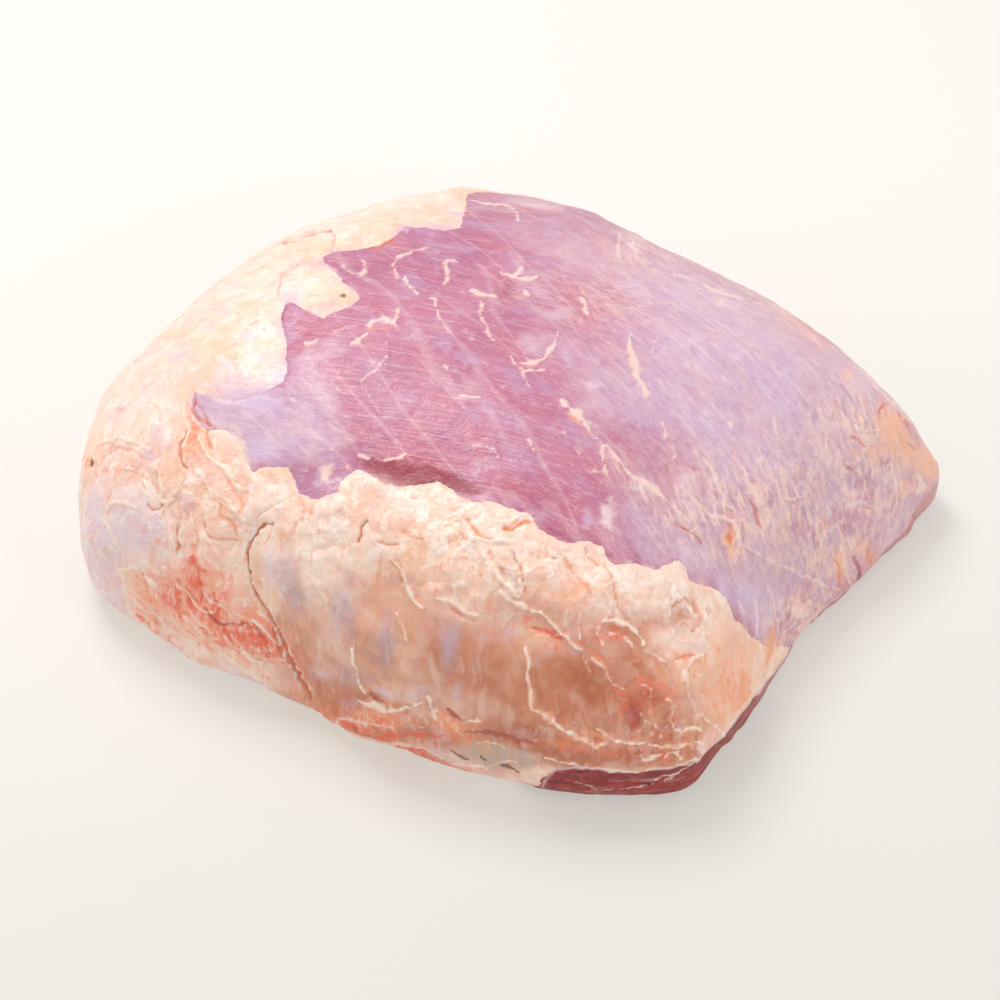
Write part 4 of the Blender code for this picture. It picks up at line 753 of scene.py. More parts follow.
    ("scar", 2.2, 0.9, -0.6, ((926, 494), (914, 509), (903, 528), (890, 548), (879, 560))),
    ("scar", 2.0, 0.5, -0.3, ((800, 326), (815, 333), (830, 343), (846, 354), (860, 366))),
    ("string", 2.0, 0.6, 0.4, ((806, 476), (812, 462), (815, 446))),
    ("scar", 2.0, 0.6, -0.4, ((842, 522), (843, 534))),
    ("string", 2.2, 0.6, 0.5, ((818, 540), (826, 552), (830, 566))),
    ("scar", 2.0, 0.5, -0.4, ((880, 480), (886, 492), (884, 506))),
    ("string", 2.0, 0.5, 0.4, ((884, 470), (892, 482), (894, 500), (888, 518))),
)


def ease(value):
    """0 to 1 with a soft start and end."""
    t = np.clip(value, 0.0, 1.0)
    return t * t * (3 - 2 * t)


def swell(points, size, seed):
    """Smooth noise from about -1 to 1 at each point, with lumps of the given size."""
    places = (points / size + seed * np.array([7.3, 3.1, 5.7])).tolist()
    return np.array([noise.noise(place) for place in places])


def cloud(points, size, seed):
    """Uneven ground from 0 to 1, with finer lumps on the larger ones."""
    total = sum(swell(points, size / 2**k, seed + 11 * k) / 1.7**k for k in range(3))
    return np.clip(0.5 + 0.45 * total, 0, 1)


def turned(points, turn, sizes):
    """Points in a frame turned to a bearing, divided by a length, a width and a height."""
    c, s = math.cos(math.radians(turn)), math.sin(math.radians(turn))
    x, y, z = points.T
    return np.stack([(x * c + y * s) / sizes[0], (y * c - x * s) / sizes[1], z / sizes[2]], axis=1)


def flakes(points, size, seed, turn=0.0, long=1.0, edge=0.15):
    """Ragged flakes that overlap: a value from 0 to 1 that is even on each, and a height that rises to one side."""
    laid = turned(points, turn, (size * long, size, size))
    warp = [0.45 * swell(laid, 0.9, seed + k) + 0.22 * swell(laid, 0.3, seed + k) for k in (1, 2, 3)]
    values, heights = np.empty(len(points)), np.empty(len(points))
    for index, place in enumerate((laid + np.stack(warp, axis=1)).tolist()):
        gaps, cells = noise.voronoi(place)
        middle = cells[0]
        values[index] = math.sin(middle.x * 12.7 + middle.y * 31.1 + middle.z * 7.5) * 437.5 % 1
        tilt = values[index] + 0.6 * (place[1] - middle.y)
        heights[index] = min((gaps[1] - gaps[0]) / edge, 1) * tilt
    return values, heights


def folds(points, size, seed):
    """Thin raised folds that wind over smooth ground, 1 on the crest of a fold."""
    warp = np.stack([swell(points, size * 0.7, seed + k) for k in (1, 2, 3)], axis=1)
    wave = swell(points + 0.5 * size * warp, size, seed)
    patchy = ease(0.5 + 1.4 * swell(points, size * 1.5, seed + 4))
    return patchy * (1 - np.minimum(np.abs(wave) / FOLD_WIDTH, 1)) ** 1.5


def spots_of(points):
    """Where points show in the picture."""
    off = points - CAMERA_AIM
    depth = CAMERA_DISTANCE + off @ AHEAD
    half = PICTURE / 2
    return np.stack([half + FOCAL * (off @ RIGHT) / depth, half - FOCAL * (off @ UP) / depth], axis=1)


def smooth_path(path):
    """More corners along a path, on a smooth line through the given ones."""
    rows = np.array(path, float)
    padded = np.vstack([2 * rows[0] - rows[1], rows, 2 * rows[-1] - rows[-2]])
    found = []
    for a, b, c, d in zip(padded, padded[1:], padded[2:], padded[3:]):
        bend, twist = 2 * a - 5 * b + 4 * c - d, 3 * b - a - 3 * c + d
        for t in np.arange(PATH_STEPS) / PATH_STEPS:
            found.append(0.5 * (2 * b + (c - a) * t + bend * t**2 + twist * t**3))
    found.append(rows[-1])
    return np.array(found)


def near_path(places, path, reach):
    """The places within reach of a path, how far each is from it, and how far along it lies, from 0 to 1."""
    low, high = path.min(0) - reach, path.max(0) + reach
    close = np.flatnonzero(((places >= low) & (places <= high)).all(1))
    part = places[close]
    best = np.full(len(part), np.inf)
    share = np.zeros(len(part))
    for number, (start, end) in enumerate(zip(path, path[1:])):
        run = end - start
        along = np.clip((part - start) @ run / max(run @ run, 1e-12), 0, 1)
        off = part - start - along[:, None] * run
        gap = np.sqrt((off * off).sum(1))
        nearer = gap < best
        best[nearer] = gap[nearer]
        share[nearer] = (number + along[nearer]) / (len(path) - 1)
    return close, best, share


def inside_loop(places, loop):
    """Whether each flat place lies inside a closed loop."""
    found = np.zeros(len(places), bool)
    x, y = places[:, 0], places[:, 1]
    for (x0, y0), (x1, y1) in zip(loop, np.roll(loop, -1, axis=0)):
        crosses = (y0 > y) != (y1 > y)
        if y1 != y0:
            found ^= crosses & (x < (x1 - x0) * (y - y0) / (y1 - y0) + x0)
    return found


def turns_of(points):
    """Bearing and elevation of points, in degrees, seen from the middle of the joint."""
    off = points - MIDDLE
    flat = np.hypot(off[:, 0], off[:, 1])
    return np.degrees(np.arctan2(off[:, 1], off[:, 0])) % 360, np.degrees(np.arctan2(off[:, 2], flat))


def unrolled(points):
    """The surface spread flat round the crown, so that the underside lies outermost."""
    bearing, elevation = turns_of(points)
    out = (90 - elevation) / 90
    turn = np.radians(bearing)
    return np.stack([out * np.cos(turn), out * np.sin(turn)], axis=1)


def from_turns(rows):
    """Points on the surface at the given bearings and elevations."""
    found = []
    for bearing, elevation in rows:
        b, e = math.radians(bearing), math.radians(elevation)
        way = Vector((math.cos(b) * math.cos(e), math.sin(b) * math.cos(e), math.sin(e)))
        found.append(list(skin_tree.ray_cast(Vector(MIDDLE), way)[0]))
    return np.array(found)


def along_turns(rows):
    """Points all along the surface from each bearing and elevation to the next."""
    rows = np.array(rows, float)
    filled = [np.linspace(start, end, TURN_STEPS, endpoint=False) for start, end in zip(rows, rows[1:])]
    return from_turns(np.vstack([*filled, rows[-1:]]))


def closed_loop(border, bearings):
    """A border spread flat, and closed by a ring low on the joint at these bearings."""
    ring = [(bearing % 360, RING) for bearing in bearings]
    return np.vstack([unrolled(border), unrolled(from_turns(ring))])


def on_skin(spots):
    """The points of the surface that the picture shows at these spots; a spot off the edge moves in to it."""
    found = []
    for spot in np.array(spots, float):
        for share in np.linspace(0, MOVE_IN, MOVE_STEPS):
            x, y = spot + (MIDDLE_SPOT - spot) * share
            way = AHEAD + RIGHT * (x - PICTURE / 2) / FOCAL + UP * (PICTURE / 2 - y) / FOCAL
            hit = skin_tree.ray_cast(Vector(EYE), Vector(way).normalized())[0]
            if hit is not None:
                found.append(list(hit))
                break
    return np.array(found)


def rounded_copy(size):
    """The CAD surface as a new mesh of even small squares, rounder between the CAD's corners."""
    cage = bmesh.new()
    cage.from_mesh(joint.data)
    bmesh.ops.remove_doubles(cage, verts=cage.verts[:], dist=1e-5)
    bmesh.ops.join_triangles(
        cage, faces=cage.faces[:], angle_face_threshold=math.radians(40), angle_shape_threshold=math.radians(60)
    )
    mesh = bpy.data.meshes.new("cage")
    cage.to_mesh(mesh)
    cage.free()
    helper = bpy.data.objects.new("cage", mesh)
    bpy.context.scene.collection.objects.link(helper)
    round_off = helper.modifiers.new("round", "SUBSURF")
    round_off.levels = 2
    round_off.render_levels = 2
    squares = helper.modifiers.new("squares", "REMESH")
    squares.mode = "VOXEL"
    squares.voxel_size = size
    bpy.context.view_layer.update()
    graph = bpy.context.evaluated_depsgraph_get()
    made = bpy.data.meshes.new_from_object(helper.evaluated_get(graph))
    bpy.data.objects.remove(helper)
    made.vertices.foreach_set("co", even_out(corners_of(made), lines_of(made), 3).ravel())
    made.update()
    return made


def corners_of(mesh):
    places = np.empty(len(mesh.vertices) * 3)
    mesh.vertices.foreach_get("co", places)
    return places.reshape(-1, 3)


def lines_of(mesh):
    ends = np.empty(len(mesh.edges) * 2, int)
    mesh.edges.foreach_get("vertices", ends)
    return ends.reshape(-1, 2)


def even_out(values, ends, times):
    """Values averaged with those of the corners next door, several times over."""
    counts = np.maximum(np.bincount(ends.ravel(), minlength=len(values)), 1)
    for _ in range(times):
        columns = values.reshape(len(values), -1)
        total = np.empty_like(columns)
        for k in range(columns.shape[1]):
            total[:, k] = np.bincount(ends[:, 0], columns[ends[:, 1], k], len(values))
            total[:, k] += np.bincount(ends[:, 1], columns[ends[:, 0], k], len(values))
        values = (0.5 * columns + 0.5 * total / counts[:, None]).reshape(values.shape)
    return values


def line_tree(path):
    """A search tree over a path in space, filled in closely between its corners."""
    steps = []
    for start, end in zip(path, path[1:]):
        count = max(int(np.linalg.norm(end - start) / LINE_STEP), 1)
        steps.append(np.linspace(start, end, count, endpoint=False))
    places = np.vstack([*steps, path[-1:]])
    tree = KDTree(len(places))
    for index, place in enumerate(places):
        tree.insert(place, index)
    tree.balance()
    return tree


def away_from(tree, points):
    return np.array([tree.find(point)[2] for point in points.tolist()])


class Place:
    """What is known of each corner of a mesh: where it is, how it faces and where it shows."""

    def __init__(self, mesh, evening=0):
        self.ends = lines_of(mesh)
        self.points = even_out(corners_of(mesh), self.ends, evening)
        mesh.vertices.foreach_set("co", self.points.ravel())
        mesh.update()
        normals = np.empty(len(mesh.vertices) * 3, np.float32)
        mesh.vertex_normals.foreach_get("vector", normals)
        self.normals = normals.reshape(-1, 3).astype(float)
        toward = EYE - self.points
        toward /= np.linalg.norm(toward, axis=1)[:, None]
        self.seen = ease((toward * self.normals).sum(1) / SEEN_FADE + 1)
        self.bearing, self.elevation = turns_of(self.points)
        large = [swell(self.points, 0.0075, seed) * 0.0010 for seed in (1, 2, 3)]
        little = [swell(self.points, 0.0028, seed) * 0.0007 for seed in (1, 2, 3)]
        self.ragged = self.points + (np.stack(large, axis=1) + np.stack(little, axis=1))

    def depth_in(self, tree, loop):
        """How far each corner lies inside a border, below 0 outside it."""
        away = away_from(tree, self.ragged)
        return np.where(inside_loop(unrolled(self.ragged), loop), away, -away)

    def fat_depth(self):
        return self.depth_in(fat_line, fat_loop)

    def cut_depth(self):
        return self.depth_in(cut_line, cut_loop)

    def past(self, bearings):
        """Arc from a seam at these bearings to each corner, above 0 on the side of higher bearings."""
        off = (self.bearing - bearings + 180) % 360 - 180
        return np.radians(off) * np.hypot(*(self.ragged - MIDDLE)[:, :2].T)

    def past_crease(self):
        return self.past(np.interp(self.elevation, crease_elevations, crease_bearings))

    def past_seam(self):
        slow, fast = np.sin(np.radians(self.elevation * 6)), np.sin(np.radians(self.elevation * 17))
        return self.past(BACK_SEAM + 5 * slow + 3 * fast)

    def painted(self):
        """Amounts of each kind of patch and stroke; what the picture does not show is finished like its front."""
        uneven = np.clip(1.0 + 1.1 * swell(self.points, 0.005, 12) + 0.6 * swell(self.points, 0.002, 13), 0.3, 1.5)
        front, front_rise = painted_at(spots_of(self.ragged), uneven)
        behind, behind_rise = painted_at(spots_of(self.ragged * TO_BEHIND), uneven)
        fields = {kind: front[kind] * self.seen + behind[kind] * (1 - self.seen) for kind in front}
        return fields, front_rise * self.seen + behind_rise * (1 - self.seen)


def painted_at(spots, uneven):
    """Amounts from 0 to 1 of each kind of patch and stroke at these spots, and the height that the strokes add."""
    left = {kind: np.ones(len(spots)) for kind in (*PATCHES, *(row[0] for row in STROKES))}
    rise = np.zeros(len(spots))
    for kind, rows in PATCHES.items():
        for x, y, wide, tall, turn, strength in rows:
            close = np.flatnonzero((np.abs(spots - (x, y)) < 2.6 * max(wide, tall)).all(1))
            right, down = (spots[close] - (x, y)).T
            c, s = math.cos(math.radians(turn)), math.sin(math.radians(turn))
            round_off = ((right * c + down * s) / wide) ** 2 + ((down * c - right * s) / tall) ** 2
            left[kind][close] *= 1 - strength * np.exp(-round_off)
    for kind, width, strength, lift, path in STROKES:
        corners = smooth_path(path)
        width *= STRAND_WIDTH
        close, away, along = near_path(spots, corners, 3 * width)
        thick = width * uneven[close] * (0.5 + 0.5 * np.sqrt(np.sin(math.pi * along)))
        line = np.exp(-((away / thick) ** 2))
        left[kind][close] *= 1 - strength * line
        rise[close] += lift * 0.001 * line
        # Painted shadow: an orange line along the lower side of each raised strand, where the surface also sinks a
        # little
        if kind == "string" and lift >= STANDING:
            close, away, along = near_path(spots, corners + SHADOW_SIDE * width, 3 * width)
            left["amber"][close] *= 1 - SHADOW_SHARE * strength * np.exp(-((away / (SHADOW_WIDTH * width)) ** 2))
            rise[close] -= SHADOW_DEPTH * np.exp(-((away / width) ** 2))
    return {kind: 1 - share for kind, share in left.items()}, rise


def laid_on(relief, depth, width):
    """Height of a shell that is full inside its border, and sunk below the skin outside it."""
    full = 1 - np.exp(-np.maximum(depth, 0) / width)
    return np.where(depth > 0, relief * full, np.maximum(depth * DIVE, SUNK))


class Cover:
    """The skin in small squares, with how deep each corner lies inside the borders."""

    def __init__(self, mesh):
        self.mesh = mesh
        self.place = Place(mesh)
        faces = np.empty(len(mesh.loops), int)
        mesh.loops.foreach_get("vertex_index", faces)
        self.faces = faces.reshape(-1, 4)
        self.fat, self.cut = self.place.fat_depth(), self.place.cut_depth()
        self.above_ground = (self.place.points[:, 2] > LOWEST) | (self.place.normals[:, 2] > -0.9)


def shell(name, cover, keep, form_of, material):
    """A closed shell on the kept part of the skin: its outside stands up by a height, its rim is sunk and capped."""
    form = bmesh.new()
    form.from_mesh(cover.mesh)
    kept = keep[cover.faces].all(axis=1)
    bmesh.ops.delete(form, geom=[face for face, stays in zip(form.faces, kept) if not stays], context="FACES")
    base = bpy.data.meshes.new(name + "_base")
    form.to_mesh(base)
    form.clear()
    place = Place(base, evening=2)
    height, fields = form_of(place)
    for key, values in fields.items():
        base.attributes.new(key, "FLOAT", "POINT").data.foreach_set("value", values.astype(np.float32))
    points = place.points + place.normals * height[:, None]
    points[:, 2] = np.maximum(points[:, 2], LOWEST)
    base.vertices.foreach_set("co", points.ravel())
    form.from_mesh(base)
    rim = [edge for edge in form.edges if edge.is_boundary]
    grown = bmesh.ops.extrude_edge_only(form, edges=rim)["geom"]
    for vertex in grown:
        if isinstance(vertex, bmesh.types.BMVert):
            vertex.co += (Vector(MIDDLE) - vertex.co).normalized() * RIM_SINK
    inner = [edge for edge in grown if isinstance(edge, bmesh.types.BMEdge) and edge.is_boundary]
    bmesh.ops.holes_fill(form, edges=inner)
    bmesh.ops.recalc_face_normals(form, faces=form.faces[:])
    made = bpy.data.meshes.new(name)
    form.to_mesh(made)
    form.free()
    bpy.data.meshes.remove(base)
    made.shade_smooth()
    return finish_piece(name, made, material)


def finish_piece(name, mesh, material):
    mesh.materials.clear()
    mesh.materials.append(material)
    piece = bpy.data.objects.new(name, mesh)
    bpy.context.scene.collection.objects.link(piece)
    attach(piece, "root")
    print(name, len(mesh.polygons), "faces", flush=True)
    return piece


class Finish:
    """A material whose nodes are added one at a time; noise is named by the size of its lumps, in metres."""

    def __init__(self, name):
        self.material = bpy.data.materials.new(name)
        self.material.use_nodes = True
        self.nodes = self.material.node_tree.nodes
        self.links = self.material.node_tree.links
        self.surface = self.nodes["Principled BSDF"]
        self.place = self.nodes.new("ShaderNodeTexCoord").outputs["Object"]

    def put(self, kind, sockets, **settings):
        node = self.nodes.new(kind)
        for key, value in settings.items():
            setattr(node, key, value)
        for key, value in sockets.items():
            if isinstance(value, bpy.types.NodeSocket):
                self.links.new(value, node.inputs[key])
            else:
                node.inputs[key].default_value = value
        return node

    def field(self, name):
        return self.put("ShaderNodeAttribute", {}, attribute_name=name).outputs["Fac"]

    def maths(self, operation, first, second=0.0):
        return self.put("ShaderNodeMath", {0: first, 1: second}, operation=operation).outputs[0]

    def between(self, value, low, high, start=0.0, end=1.0):
        """The value taken from low..high to start..end, held at both ends."""
        sockets = {"Value": value, "From Min": low, "From Max": high, "To Min": start, "To Max": end}
        return self.put("ShaderNodeMapRange", sockets, interpolation_type="SMOOTHSTEP").outputs["Result"]

    def grain(self, size, detail=3.0, rough=0.5, warp=0.0, place=None, seed=0.0):
        """Noise with lumps of a size in metres; a seed moves it elsewhere."""
        where = self.put("ShaderNodeVectorMath", {0: place or self.place, 1: (seed, seed * 0.7, seed * 0.3)})
        sockets = {
            "Vector": where.outputs[0], "Scale": 1 / size, "Detail": detail, "Roughness": rough, "Distortion": warp,
        }
        return self.put("ShaderNodeTexNoise", sockets).outputs["Fac"]

    def stretched(self, turn, sizes, seed, detail=3):
        """Noise drawn out along a bearing: sizes are its length, width and height in metres."""
        laid = self.put("ShaderNodeMapping", {"Vector": self.place, "Rotation": (0, 0, math.radians(-turn))})
        return self.grain(1.0, detail, 0.55, 0.3, self.scaled(laid.outputs[0], [1 / size for size in sizes]), seed)

    def scaled(self, place, by):
        return self.put("ShaderNodeVectorMath", {0: place, 1: by}, operation="MULTIPLY").outputs[0]

    def streaks(self, width, length, seed):
        """Noise drawn out up and down the walls."""
        across = self.maths("DIVIDE", self.field("around"), width)
        along = self.maths("DIVIDE", self.field("upward"), length)
        where = self.put("ShaderNodeCombineXYZ", {0: across, 1: along})
        return self.grain(1.0, 3, 0.55, 0.4, where.outputs[0], seed)

    def threads(self, size, width, seed, warp=1.5):
        """Thin branching lines, 1 along each line and 0 away from it."""
        return self.middle_line(self.grain(size, 2.0, 0.5, warp, seed=seed), width)

    def lines(self, turn, sizes, width, seed):
        """Thin, nearly straight lines along a bearing, 1 on each line and 0 away from it."""
        return self.middle_line(self.stretched(turn, sizes, seed, 2), width)

    def middle_line(self, wave, width):
        """1 where noise passes through its middle value, and 0 from a width on either side of it."""
        off = self.maths("ABSOLUTE", self.maths("SUBTRACT", wave, 0.5))
        return self.between(off, 0.0, width, 1.0, 0.0)

    def mix(self, share, first, second):
        return self.put("ShaderNodeMix", {0: share, 6: first, 7: second}, data_type="RGBA").outputs[2]

    def tints(self, colour, rows):
        """Colours laid on where a field is high, from rows of its name, the colour, noise that breaks up the
        edges, by how much, and the low, high and most of the amount."""
        for name, target, broken, by, low, high, most in rows:
            amount = self.plus(self.field(name), self.times(self.maths("SUBTRACT", broken, 0.5), by))
            colour = self.mix(self.between(amount, low, high, 0.0, most), colour, target)
        return colour

    def layers(self, colour, rows):
        """Colours laid on where noise goes from low to high, from rows of the noise, low, high, the most of the
        colour, the colour, and any amounts that hold it back."""
        for value, low, high, most, target, *amounts in rows:
            share = self.between(value, low, high, 0, most)
            for amount in amounts:
                share = self.times(amount, share)
            colour = self.mix(share, colour, target)
        return colour

    def times(self, first, second):
        return self.maths("MULTIPLY", first, second)

    def plus(self, first, second):
        return self.maths("ADD", first, second)

    def relief(self, layers):
        """Fine bumps from (height 0 to 1, metres) layers, one on another."""
        normal = None
        for height, distance in layers:
            sockets = {"Height": height, "Distance": distance, "Strength": 1.0}
            if normal is not None:
                sockets["Normal"] = normal
            normal = self.put("ShaderNodeBump", sockets).outputs["Normal"]
        self.links.new(normal, self.surface.inputs["Normal"])

    def close(self, colour, roughness, under_skin, scatter, shine):
        """Joins the colour and roughness to the surface."""
        self.links.new(colour, self.surface.inputs["Base Color"])
        self.links.new(roughness, self.surface.inputs["Roughness"])
        self.surface.subsurface_method = "RANDOM_WALK"
        self.surface.inputs["Subsurface Weight"].default_value = under_skin
        self.surface.inputs["Subsurface Radius"].default_value = scatter
        self.surface.inputs["Subsurface Scale"].default_value = 0.003
        self.surface.inputs["Specular IOR Level"].default_value = shine
        return self.material


def fat_finish():
    f = Finish("fat")
    broad, middle, lump, chip = (f.field(name) for name in ("broad", "middle", "lump", "chip"))
    small = f.grain(0.0042, 3, 0.6, seed=12)
    fine = f.grain(0.0016, 2, seed=3)
    runs = f.streaks(0.0022, 0.014, 5)
    wisp = f.streaks(0.0050, 0.018, 15)
    blotch = f.grain(0.0085, 3, 0.6, 0.7, seed=41)
    cavity, steep, terra = f.field("cavity"), f.field("steep"), f.field("terra")
    lively = f.times(f.between(f.field("crusty"), 0.0, 0.9, 0.12, 1.0), f.between(terra, 0.2, 1.0, 1.0, 0.45))
    pale_ground = f.between(terra, 0.05, 0.6, 1.0, 0.1)
    fibrous = f.mix(0.6, runs, small)
    colour = f.mix(f.between(broad, 0.30, 0.65), PEACH, CREAM)
    colour = f.layers(colour, [(middle, 0.55, 0.80, 0.4, ROSE)])
    colour = f.tints(colour, [
        # Terracotta tone with painted shade toward the bottom of the front wall
        ("terra", TERRA_AND_SHADE, middle, 0.5, 0.05, 0.95, 0.92),
        # Redder tone with painted shade along the foot
        ("rust", RUST_AND_SHADE, middle, 0.8, 0.1, 1.0, 0.85),
        ("apricot", APRICOT, middle, 0.6, 0.1, 0.9, 0.9),
        ("rose", ROSE, middle, 0.5, 0.15, 0.9, 0.85),
        ("cream", CREAM, middle, 0.5, 0.15, 0.8, 0.9),
        ("veil", VEIL, middle, 0.6, 0.05, 0.95, 0.85),
        ("wall", WALL_VEIL, middle, 0.6, 0.05, 0.95, 0.75),
        ("grey", GREY, middle, 0.4, 0.2, 0.8, 0.85),
    ])
    colour = f.layers(colour, [
        # Painted shade and highlight: the lumps, chips, noise, streaks and blotches that also raise the bumps are tan
        # or apricot where low, and near-white or cream where high
        (lump, 0.45, 0.10, 0.35, TAN_SHADE, lively),
        (lump, 0.60, 0.95, 0.4, PAINTED_HIGHLIGHT, lively),
        (chip, 0.35, 0.15, 0.25, TAN_SHADE, lively),
        (chip, 0.70, 0.90, 0.3, PAINTED_HIGHLIGHT, lively),
        (small, 0.47, 0.34, 0.25, TAN_SHADE, lively),
        (small, 0.53, 0.66, 0.3, PAINTED_HIGHLIGHT, lively),
        # Painted shade: warm orange in the hollows of the mesh relief
        (cavity, -0.2, -1.2, 0.7, CREVICE_SHADE),
        (wisp, 0.46, 0.33, 0.4, TAN_SHADE, steep),
        (wisp, 0.54, 0.67, 0.28, CREAM, steep),
        (blotch, 0.47, 0.34, 0.3, APRICOT, pale_ground),
        (blotch, 0.54, 0.66, 0.4, PAINTED_HIGHLIGHT, pale_ground),
    ])
    colour = f.tints(colour, [
        ("hot", HOT, fibrous, 2.4, 0.1, 1.0, 0.8),
        # Orange-brown tone, with the painted shadow under raised strands
        ("amber", AMBER_AND_SHADE, small, 0.9, 0.15, 0.95, 0.8),
        ("blood", BLOOD, fibrous, 3.4, 0.15, 1.1, 0.85),
    ])
    colour = f.layers(colour, [(runs, 0.53, 0.64, 0.6, STRING, f.field("hot"))])
    colour = f.tints(colour, [
        ("scar", SCAR, fine, 0.6, 0.2, 1.0, 0.75),
        # Dark red tone and painted shadow
        ("darkred", DARK_RED_AND_SHADOW, fine, 0.6, 0.2, 1.0, 0.75),
    ])
    # Painted highlight: near-white on the crests of the mesh relief
    colour = f.layers(colour, [(cavity, 0.2, 1.2, 0.6, PAINTED_HIGHLIGHT)])
    colour = f.mix(f.times(f.threads(0.012, 0.010, 8), f.times(lively, 0.4)), colour, AMBER_AND_SHADE)
    colour = f.tints(colour, [
        ("string", STRING, small, 0.8, 0.15, 0.95, 0.8),
        ("fade", SILVER, middle, 0.7, 0.05, 0.9, 0.95),
        ("dark", BROWN, fine, 0.4, 0.2, 0.9, 0.8),
    ])
    f.relief([
        (f.times(wisp, steep), 0.0012),
        (f.times(blotch, pale_ground), 0.0010),
        (f.times(small, lively), 0.0009),
        (f.times(runs, steep), 0.0003),
    ])
    return f.close(colour, f.between(small, 0.35, 0.65, 0.32, 0.5), 0.4, (1.0, 0.5, 0.32), 0.4)


def lean_finish():
    f = Finish("lean")
    broad, hue, silk_tone, middle, flake = (f.field(name) for name in ("broad", "hue", "silk", "middle", "flake"))
    fibres = f.stretched(-14, (0.024, 0.0009, 0.002), 1, 2)
    across = f.stretched(-34, (0.018, 0.0016, 0.004), 11, 2)
    torn = f.stretched(-66, (0.016, 0.0030, 0.006), 31, 3)
    wisps = f.stretched(-40, (0.020, 0.0022, 0.006), 32, 2)
    small = f.grain(0.0036, 3, 0.6, seed=14)
    fine = f.grain(0.0014, 2, seed=5)
    silver, cavity, flaky = f.field("silver"), f.field("cavity"), f.field("flaky")
    bare, silvery = f.between(silver, 0.8, 0.1), f.between(silver, 0.1, 0.8, 0.1, 1.0)
    ragged = f.plus(flake, f.times(f.maths("SUBTRACT", small, 0.5), 0.5))
    colour = f.mix(f.between(broad, 0.30, 0.70), LEAN, LEAN_DEEP)
    colour = f.layers(colour, [(hue, 0.52, 0.75, 0.6, LILAC), (hue, 0.46, 0.25, 0.5, SALMON)])
    colour = f.tints(colour, [("red", LEAN_RED_AND_SHADE, across, 1.0, 0.2, 1.0, 0.8)])
    silk = f.mix(f.between(middle, 0.35, 0.75, 0, 0.55), SILVER, SILVER_WARM)
    silk = f.layers(silk, [(silk_tone, 0.52, 0.80, 0.55, BLUISH), (silk_tone, 0.42, 0.15, 0.3, LILAC)])
    colour = f.tints(colour, [
        ("silver", silk, middle, 0.3, 0.1, 0.9, 0.9),
        ("mauve", MAUVE, middle, 0.5, 0.15, 0.9, 0.85),
        ("bluish", BLUISH, middle, 0.5, 0.15, 0.95, 0.85),
    ])
    colour = f.mix(f.times(flaky, 0.5), colour, SILVER_WARM)
    colour = f.layers(colour, [
        (ragged, 0.34, 0.14, 0.6, SALMON, flaky),
        (ragged, 0.62, 0.46, 0.6, PEACH, f.between(ragged, 0.28, 0.44), flaky),
        (ragged, 0.86, 0.72, 0.5, MAUVE, f.between(ragged, 0.56, 0.72), flaky),
        (ragged, 0.80, 0.95, 0.7, CREAM, flaky),
        # Painted shade between the raised torn strands
        (torn, 0.47, 0.36, 0.55, TORN_HOLLOW_SHADE, flaky),
        (torn, 0.51, 0.58, 0.7, PEACH, flaky),
        (torn, 0.57, 0.65, 0.8, CREAM, flaky),
        (wisps, 0.54, 0.68, 0.35, MEMBRANE_AND_HIGHLIGHT, silvery),
        (wisps, 0.45, 0.32, 0.3, LILAC, silvery),
        (fibres, 0.52, 0.68, 0.16, MEMBRANE_AND_HIGHLIGHT),
        (fibres, 0.46, 0.32, 0.14, LEAN_RED_AND_SHADE),
        (small, 0.46, 0.34, 0.1, LEAN_RED_AND_SHADE),
        (small, 0.54, 0.66, 0.14, MEMBRANE_AND_HIGHLIGHT),
    ])
    hatch = f.plus(f.lines(-12, (0.030, 0.0022, 0.02), 0.022, 22), f.lines(32, (0.030, 0.0024, 0.02), 0.018, 23))
    for lines, amount in (
        (f.lines(-57, (0.150, 0.022, 0.10), 0.034, 21), f.times(bare, 0.2)),
        (f.lines(-16, (0.060, 0.0030, 0.006), 0.030, 25), f.times(bare, 0.2)),
        (hatch, f.times(f.field("hatch"), 0.55)),
    ):
        colour = f.mix(f.times(lines, amount), colour, MEMBRANE_AND_HIGHLIGHT)
    # Pale membrane and painted glints
    colour = f.tints(colour, [("pale", MEMBRANE_AND_HIGHLIGHT, small, 1.1, 0.2, 0.95, 0.8)])
    veins = f.times(f.threads(0.009, 0.008, 9, 0.8), f.between(silver, 0.2, 0.8, 0.05, 0.2))
    colour = f.mix(veins, colour, MEMBRANE_AND_HIGHLIGHT)
    colour = f.tints(colour, [
        ("veil", BLUISH, middle, 0.5, 0.2, 0.9, 0.6),
        ("rose", ROSE, small, 1.0, 0.2, 0.95, 0.6),
        ("apricot", APRICOT, small, 1.0, 0.15, 0.9, 0.85),
        ("cream", CREAM, small, 1.0, 0.3, 0.9, 0.8),
        # Orange-brown tone, with the painted shadow under raised strands
        ("amber", AMBER_AND_SHADE, small, 1.0, 0.2, 1.0, 0.7),
        # Painted shade under the fat crest and at a few small spots
        ("shade", PAINTED_LEAN_SHADE, fine, 0.4, 0.2, 0.9, 0.8),
    ])
    # Painted shade in the hollows of the relief and painted highlight on its crests
    colour = f.layers(colour, [(cavity, -0.2, -1.2, 0.4, LEAN_RED_AND_SHADE), (cavity, 0.2, 1.2, 0.45, MEMBRANE_AND_HIGHLIGHT)])
    colour = f.tints(colour, [
        ("scar", SCAR, fine, 0.6, 0.2, 1.0, 0.7),
        ("darkred", DARK_RED_AND_SHADOW, fine, 0.6, 0.2, 1.0, 0.75),
        ("string", STRAND, small, 0.9, 0.15, 0.95, 0.8),
    ])
    f.relief([(f.times(torn, flaky), 0.0016), (small, 0.0005), (fibres, 0.00014)])
    return f.close(colour, f.between(small, 0.35, 0.65, 0.28, 0.48), 0.3, (1.0, 0.45, 0.45), 0.4)


